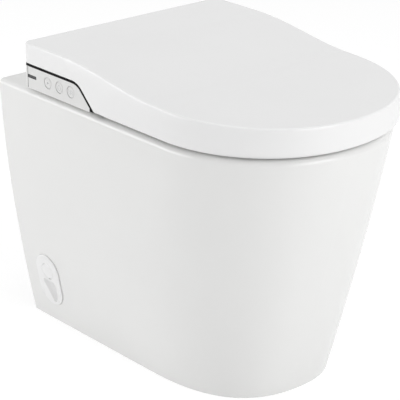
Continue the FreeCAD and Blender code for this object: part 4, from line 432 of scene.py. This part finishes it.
def waves_tree():
    """Short wavy beads, side by side, each with two full waves along Y."""
    two_waves = 2 * 2 * math.pi
    tree, given = new_tree("wavy_beads", Length=0.008, Swing=0.0005, Bead=0.0002, Count=3, Gap=0.002)
    start = add(tree, "ShaderNodeMath", {0: given["Length"]}, {1: -0.5}, operation="MULTIPLY")
    end = add(tree, "ShaderNodeMath", {0: given["Length"]}, {1: 0.5}, operation="MULTIPLY")
    low = add(tree, "ShaderNodeCombineXYZ", {"Y": start.outputs[0]})
    high = add(tree, "ShaderNodeCombineXYZ", {"Y": end.outputs[0]})
    line = add(tree, "GeometryNodeCurvePrimitiveLine", {"Start": low.outputs[0], "End": high.outputs[0]})
    fine = add(tree, "GeometryNodeResampleCurve", {"Curve": line.outputs["Curve"]}, {"Count": 25})
    along = add(tree, "GeometryNodeSplineParameter").outputs["Factor"]
    turn = add(tree, "ShaderNodeMath", {0: along}, {1: two_waves}, operation="MULTIPLY")
    swing = add(tree, "ShaderNodeMath", {0: turn.outputs[0]}, operation="SINE")
    reach = add(tree, "ShaderNodeMath", {0: swing.outputs[0], 1: given["Swing"]}, operation="MULTIPLY")
    offset = add(tree, "ShaderNodeCombineXYZ", {"X": reach.outputs[0]})
    wavy = add(tree, "GeometryNodeSetPosition", {"Geometry": fine.outputs["Curve"],
                                                 "Offset": offset.outputs[0]})
    section = add(tree, "GeometryNodeCurvePrimitiveCircle", {"Radius": given["Bead"]}, {"Resolution": 8})
    bead = add(tree, "GeometryNodeCurveToMesh", {"Curve": wavy.outputs["Geometry"],
                                                 "Profile Curve": section.outputs["Curve"]},
               {"Fill Caps": True})
    width = add(tree, "ShaderNodeMath", {0: given["Count"], 1: given["Gap"]}, operation="MULTIPLY")
    spots = add(tree, "GeometryNodeMeshGrid", {"Size X": width.outputs[0], "Vertices X": given["Count"]},
                {"Size Y": 0.0, "Vertices Y": 1})
    spread = add(tree, "GeometryNodeInstanceOnPoints", {"Points": spots.outputs["Mesh"],
                                                        "Instance": bead.outputs["Mesh"]})
    return close_tree(tree, given, spread.outputs["Instances"])


LATTICE = lattice_tree()
RING = ring_tree()
WAVES = waves_tree()


def pattern(tree, place, slot, **sizes):
    """Runs a tree once with these sizes and gives its result as a plain mesh, put in its place."""
    holder = bpy.data.objects.new("pattern", bpy.data.meshes.new("pattern"))
    scene.collection.objects.link(holder)
    grow = holder.modifiers.new("grow", "NODES")
    grow.node_group = tree
    for socket in tree.interface.items_tree:
        if socket.in_out == "INPUT" and socket.name in sizes:
            grow[socket.identifier] = sizes[socket.name]
        elif socket.name == "Finish":
            grow[socket.identifier] = FINISHES[slot]
    mesh = bpy.data.meshes.new_from_object(holder.evaluated_get(bpy.context.evaluated_depsgraph_get()))
    holder.modifiers.remove(grow)
    bpy.data.objects.remove(holder)
    mesh.transform(place)
    return mesh


def join_meshes(meshes):
    """Several meshes as one."""
    bm = bmesh.new()
    for mesh in meshes:
        bm.from_mesh(mesh)
    whole = bpy.data.meshes.new("whole")
    bm.to_mesh(whole)
    bm.free()
    return whole


# ---------------------------------------------------------------- carried-over nodes

for name, node in nodes.items():
    node.data.materials.clear()
    node.data.materials.append(FINISHES[SLOT_OF[name]])

Y_AXIS = Vector((0, 1, 0))
Z_AXIS = Vector((0, 0, 1))

RECESS_LONG = 4.2 * MM
RECESS_WIDE = 0.9 * MM
RECESS_DEEP = 1.1 * MM


def cross_cutter(node, side):
    """Cross recesses for the driver in each screw's head; side is +1 for a head that faces up."""
    slots = []
    for points in solids_of(node):
        low, high = points_low(points), points_high(points)
        face = high.z if side > 0 else low.z
        spot = Matrix.Translation(((low.x + high.x) / 2, (low.y + high.y) / 2, face))
        for width, depth in ((RECESS_LONG, RECESS_WIDE), (RECESS_WIDE, RECESS_LONG)):
            slots.append(pattern(LATTICE, spot, SLOT_OF[node], Across=0.0, Along=0.0, Columns=1, Rows=1,
                                 Width=width, Depth=depth, Height=2 * RECESS_DEEP, Variation=0.0, Seed=1))
    return slots


CUTTERS["lid_screws"] = cross_cutter("lid_screws", -1)
CUTTERS["housing_screws"] = cross_cutter("housing_screws", 1)

# The notches' places round the cap, in degrees from its top, and their size. A cap leans with its
# wall, so its face is found from its highest and lowest corners, taken within RIM_BAND of its ends.
NOTCH_TURNS = (24, 204)
NOTCH_LONG = 6 * MM
NOTCH_WIDE = 2.2 * MM
NOTCH_DEEP = 2.4 * MM
RIM_BAND = 0.3 * MM


def cap_notches():
    """Two short notches in each round cap's rim, where a blade lifts it out."""
    meshes = []
    for points in solids_of("side_cover_caps"):
        low, high = points_low(points), points_high(points)
        side = 1 if low.x > 0 else -1
        top_corners = [p for p in points if p.z > high.z - RIM_BAND]
        foot_corners = [p for p in points if p.z < low.z + RIM_BAND]
        face_top = max(top_corners, key=lambda p: p.x * side)
        face_foot = max(foot_corners, key=lambda p: p.x * side)
        upwards = (face_top - face_foot).normalized()
        cap_face = frame_at((face_top + face_foot) / 2, Vector((0, -side, 0)), upwards)
        radius = (face_top - face_foot).length / 2
        bm = bmesh.new()
        for turn in NOTCH_TURNS:
            spot = cap_face @ Matrix.Rotation(math.radians(side * turn), 4, "Z")
            cuboid(bm, (NOTCH_LONG, NOTCH_WIDE, NOTCH_DEEP), spot @ Matrix.Translation((0, radius, 0)))
        mesh = bpy.data.meshes.new("notches")
        bm.to_mesh(mesh)
        bm.free()
        meshes.append(mesh)
    return meshes


CUTTERS["side_cover_caps"] = cap_notches()

for name in nodes:
    smoothed(name)
for name in PANEL_PIECES:
    bpy.data.objects[name + "_finished"].data.materials[0] = PANEL_ABS

# ---------------------------------------------------------------- marks on the three buttons

# A mark's lines and dots have their middle this deep in the button, so only their upper part shows.
MARK_SINK = 0.1 * MM
MARK_BEAD = 0.22 * MM
BEAD_SIDES = 8
DROP_SIZE = 3.4 * MM
DROP_POINTS = 36
# The drop's height, the pinch of its top and how far it is lowered, as shares of its size.
DROP_TALL = 1.25
DROP_PINCH = 0.45
DROP_LOWERED = 0.1


def key_face(node):
    """A frame at a button's outer face: X to the front, Y up, Z out of the panel."""
    low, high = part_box(node)
    spot = Vector((low.x + MARK_SINK, (low.y + high.y) / 2, (low.z + high.z) / 2))
    return frame_at(spot, -Y_AXIS, Z_AXIS)


def drop_outline(size):
    """A water drop's outline: half an ellipse below, pinched towards its top."""
    points = []
    for i in range(DROP_POINTS):
        turn = 2 * math.pi * i / DROP_POINTS
        narrow = 1 - DROP_PINCH * max(0.0, math.cos(turn)) ** 2
        across = size * math.sin(turn) * narrow
        up = size * (DROP_TALL * math.cos(turn) - DROP_LOWERED)
        points.append(Vector((across, up, 0)))
    return points


def bead_along(points, radius, place):
    """A fine closed bead along an outline."""
    bm = bmesh.new()
    turns = [2 * math.pi * k / BEAD_SIDES for k in range(BEAD_SIDES)]
    rings = []
    for i, spot in enumerate(points):
        along = (points[(i + 1) % len(points)] - points[i - 1]).normalized()
        out = along.cross(Z_AXIS)
        section = [spot + radius * (math.cos(t) * out + math.sin(t) * Z_AXIS) for t in turns]
        rings.append([bm.verts.new(place @ corner) for corner in section])
    for i, ring in enumerate(rings):
        after = rings[(i + 1) % len(rings)]
        for k in range(BEAD_SIDES):
            beside = (k + 1) % BEAD_SIDES
            bm.faces.new((ring[k], ring[beside], after[beside], after[k]))
    bmesh.ops.recalc_face_normals(bm, faces=bm.faces)
    return bm


wash_face = key_face("wash_button")
spray = pattern(RING, wash_face, "grey_plastic", Radius=4.6 * MM, Count=8, Dome=0.42 * MM, Flatness=0.35)
jets = pattern(RING, wash_face, "grey_plastic", Radius=1.0 * MM, Count=3, Dome=0.84 * MM, Flatness=0.3)
dress("wash_mark", join_meshes([spray, jets]), "wash_key", "grey_plastic")

drop = bead_along(drop_outline(DROP_SIZE), MARK_BEAD, key_face("rinse_button"))
new_piece("rinse_mark", drop, "rinse_key", "grey_plastic")

warm_air = pattern(WAVES, key_face("dry_button"), "grey_plastic", Length=7.5 * MM, Swing=0.7 * MM,
                   Bead=MARK_BEAD, Count=3, Gap=2.6 * MM)
dress("dry_mark", warm_air, "dry_key", "grey_plastic")

# ---------------------------------------------------------------- black lines of the panels

# A thin rubber line down each panel's rear end, just in front of where the sensor bar's window stops.
LINE_WIDE = 0.9 * MM
LINE_DEEP = 0.9 * MM
LINE_PROUD = 0.05 * MM
LINE_BACK = 1.6 * MM
LINE_SHORTER = 1.5 * MM
panel_low, panel_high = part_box("control_panel")
sensor_low, sensor_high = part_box("sensor_window")
line_high = panel_high.z - panel_low.z - LINE_SHORTER
line_x = abs(panel_low.x) + LINE_PROUD - LINE_DEEP / 2
for side, label in ((-1, "right"), (1, "left")):
    bm = bmesh.new()
    middle = Vector((side * line_x, sensor_high.y - LINE_BACK, (panel_low.z + panel_high.z) / 2))
    cuboid(bm, (LINE_DEEP, LINE_WIDE, line_high), Matrix.Translation(middle))
    new_piece("panel_end_line_" + label, bm, "pan", "black_rubber")

# A black rim inlaid in the panel round the sensor bar. The window's box is wider than the bar that
# shows, by a flange that lies behind the panel all round it.
RIM_WIDE = 0.8 * MM
RIM_PROUD = 0.08 * MM
RIM_DEEP = 0.6 * MM
FLANGE_ALONG = 2.0 * MM
FLANGE_OVER = 2.3 * MM
bar_long = sensor_high.y - sensor_low.y - 2 * FLANGE_ALONG
bar_high = sensor_high.z - sensor_low.z - 2 * FLANGE_OVER
bar_middle = (sensor_low + sensor_high) / 2
rim_x = panel_low.x - RIM_PROUD + RIM_DEEP / 2
bm = bmesh.new()
for sign in (-1, 1):
    above = Vector((rim_x, bar_middle.y, bar_middle.z + sign * (bar_high + RIM_WIDE) / 2))
    cuboid(bm, (RIM_DEEP, bar_long + 2 * RIM_WIDE, RIM_WIDE), Matrix.Translation(above))
    beyond = Vector((rim_x, bar_middle.y + sign * (bar_long + RIM_WIDE) / 2, bar_middle.z))
    cuboid(bm, (RIM_DEEP, RIM_WIDE, bar_high), Matrix.Translation(beyond))
new_piece("sensor_rim", bm, "pan", "black_rubber")

# ---------------------------------------------------------------- chips on the main board

# The chips stand in rows over the middle of the board, over these shares of its width and length.
CHIP_HIGH = 2.4 * MM
SHARE_ACROSS = 0.78
SHARE_ALONG = 0.74
board_low, board_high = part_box("main_board")
board_size = board_high - board_low
board_middle = (board_low + board_high) / 2
chip_place = Matrix.Translation((board_middle.x, board_middle.y, board_high.z + CHIP_HIGH / 2))
chips = pattern(LATTICE, chip_place, "charcoal", Across=board_size.x * SHARE_ACROSS,
                Along=board_size.y * SHARE_ALONG, Columns=6, Rows=5, Width=9 * MM, Depth=6 * MM,
                Height=CHIP_HIGH, Variation=0.7, Seed=7)
dress("main_board_chips", chips, "pan", "charcoal")

# ---------------------------------------------------------------- studio

# The floor bounces light as PALE. Seen by the camera, in a gloss or through a clear piece, it is
# SEEN_GREY with a glow of FLOOR_LIFT added, which makes it nearly white and leaves its shadow faint.
PALE = "#F4F4F4"
SEEN_GREY = "#A8A8A8"
FLOOR_LIFT = 0.72
FLOOR_SIDE = 12.0
FLOOR_GAP = 0.2 * MM


def seen_directly(tree):
    """1 for a ray from the camera, a gloss or a clear piece, and 0 for a ray of bounced light."""
    rays = add(tree, "ShaderNodeLightPath").outputs
    near = add(tree, "ShaderNodeMath", {0: rays["Is Camera Ray"], 1: rays["Is Glossy Ray"]},
               operation="MAXIMUM")
    every = add(tree, "ShaderNodeMath", {0: near.outputs[0], 1: rays["Is Transmission Ray"]},
                operation="MAXIMUM")
    return every.outputs[0]


def floor_finish():
    """Seamless paper: an even pale floor that bounces light and still takes a faint shadow."""
    paper = {"Roughness": 0.95, "Specular IOR Level": 0.0, "Emission Color": linear("#FFFFFF")}
    material, tree, surface, _ = new_finish("studio_paper", **paper)
    seen = seen_directly(tree)
    tree.links.new(blend_colours(tree, seen, PALE, SEEN_GREY), surface.inputs["Base Color"])
    lift = add(tree, "ShaderNodeMath", {0: seen}, {1: FLOOR_LIFT}, operation="MULTIPLY")
    tree.links.new(lift.outputs[0], surface.inputs["Emission Strength"])
    return material


bm = bmesh.new()
bmesh.ops.create_grid(bm, x_segments=1, y_segments=1, size=FLOOR_SIDE / 2)
floor_mesh = bpy.data.meshes.new("floor")
bm.to_mesh(floor_mesh)
bm.free()
floor = bpy.data.objects.new("floor", floor_mesh)
floor.location = (0, 0, cad_low.z - FLOOR_GAP)
floor_mesh.materials.append(floor_finish())
scene.collection.objects.link(floor)

# The room is white where it is seen, and lights the object at the AMBIENT level.
AMBIENT = 0.42
world = bpy.data.worlds.new("studio")
world.use_nodes = True
scene.world = world
sky = world.node_tree
sky.nodes.clear()
level = add(sky, "ShaderNodeMapRange", {"Value": seen_directly(sky)}, {"To Min": AMBIENT, "To Max": 1.0})
white = {"Color": linear("#FFFFFF")}
background = add(sky, "ShaderNodeBackground", {"Strength": level.outputs["Result"]}, white)
add(sky, "ShaderNodeOutputWorld", {"Surface": background.outputs["Background"]})

# The soft lamps point at the middle of the object.
MIDDLE = Vector((0, 0, 0.24))


def softbox(name, place, size, watts):
    """A square soft lamp aimed at the object."""
    lamp = bpy.data.lights.new(name, "AREA")
    lamp.shape = "SQUARE"
    lamp.size = size
    lamp.energy = watts
    holder = bpy.data.objects.new(name, lamp)
    holder.location = place
    holder.rotation_euler = (MIDDLE - Vector(place)).to_track_quat("-Z", "Y").to_euler()
    scene.collection.objects.link(holder)


# Each lamp's place, the length of its side and its power in watts.
SOFTBOXES = {
    "front_softbox": ((0.4, -3.6, 1.4), 2.2, 62),
    "right_softbox": ((3.4, -0.6, 1.4), 2.2, 3),
    "left_softbox": ((-2.9, 2.1, 0.7), 2.2, 62),
    "top_softbox": ((0.2, 0.3, 3.4), 2.6, 29),
}
for lamp_name, (lamp_place, lamp_size, lamp_watts) in SOFTBOXES.items():
    softbox(lamp_name, lamp_place, lamp_size, lamp_watts)

# The photograph's camera, solved from points on the object: its place, its direction from the object,
# and the lens and sensor in millimetres.
EYE = Vector((-1.72973, -2.00183, 1.29147))
AZIMUTH = math.radians(-40.28)
ELEVATION = math.radians(21.57)
LENS = 168.15
SENSOR = 36
camera_data = bpy.data.cameras.new("camera")
camera_data.lens = LENS
camera_data.sensor_width = SENSOR
camera = bpy.data.objects.new("camera", camera_data)
camera.location = EYE
back = Vector((math.sin(AZIMUTH) * math.cos(ELEVATION), -math.cos(AZIMUTH) * math.cos(ELEVATION),
               math.sin(ELEVATION)))
camera.rotation_euler = (-back).to_track_quat("-Z", "Y").to_euler()
scene.collection.objects.link(camera)
scene.camera = camera
scene.view_settings.view_transform = "Standard"
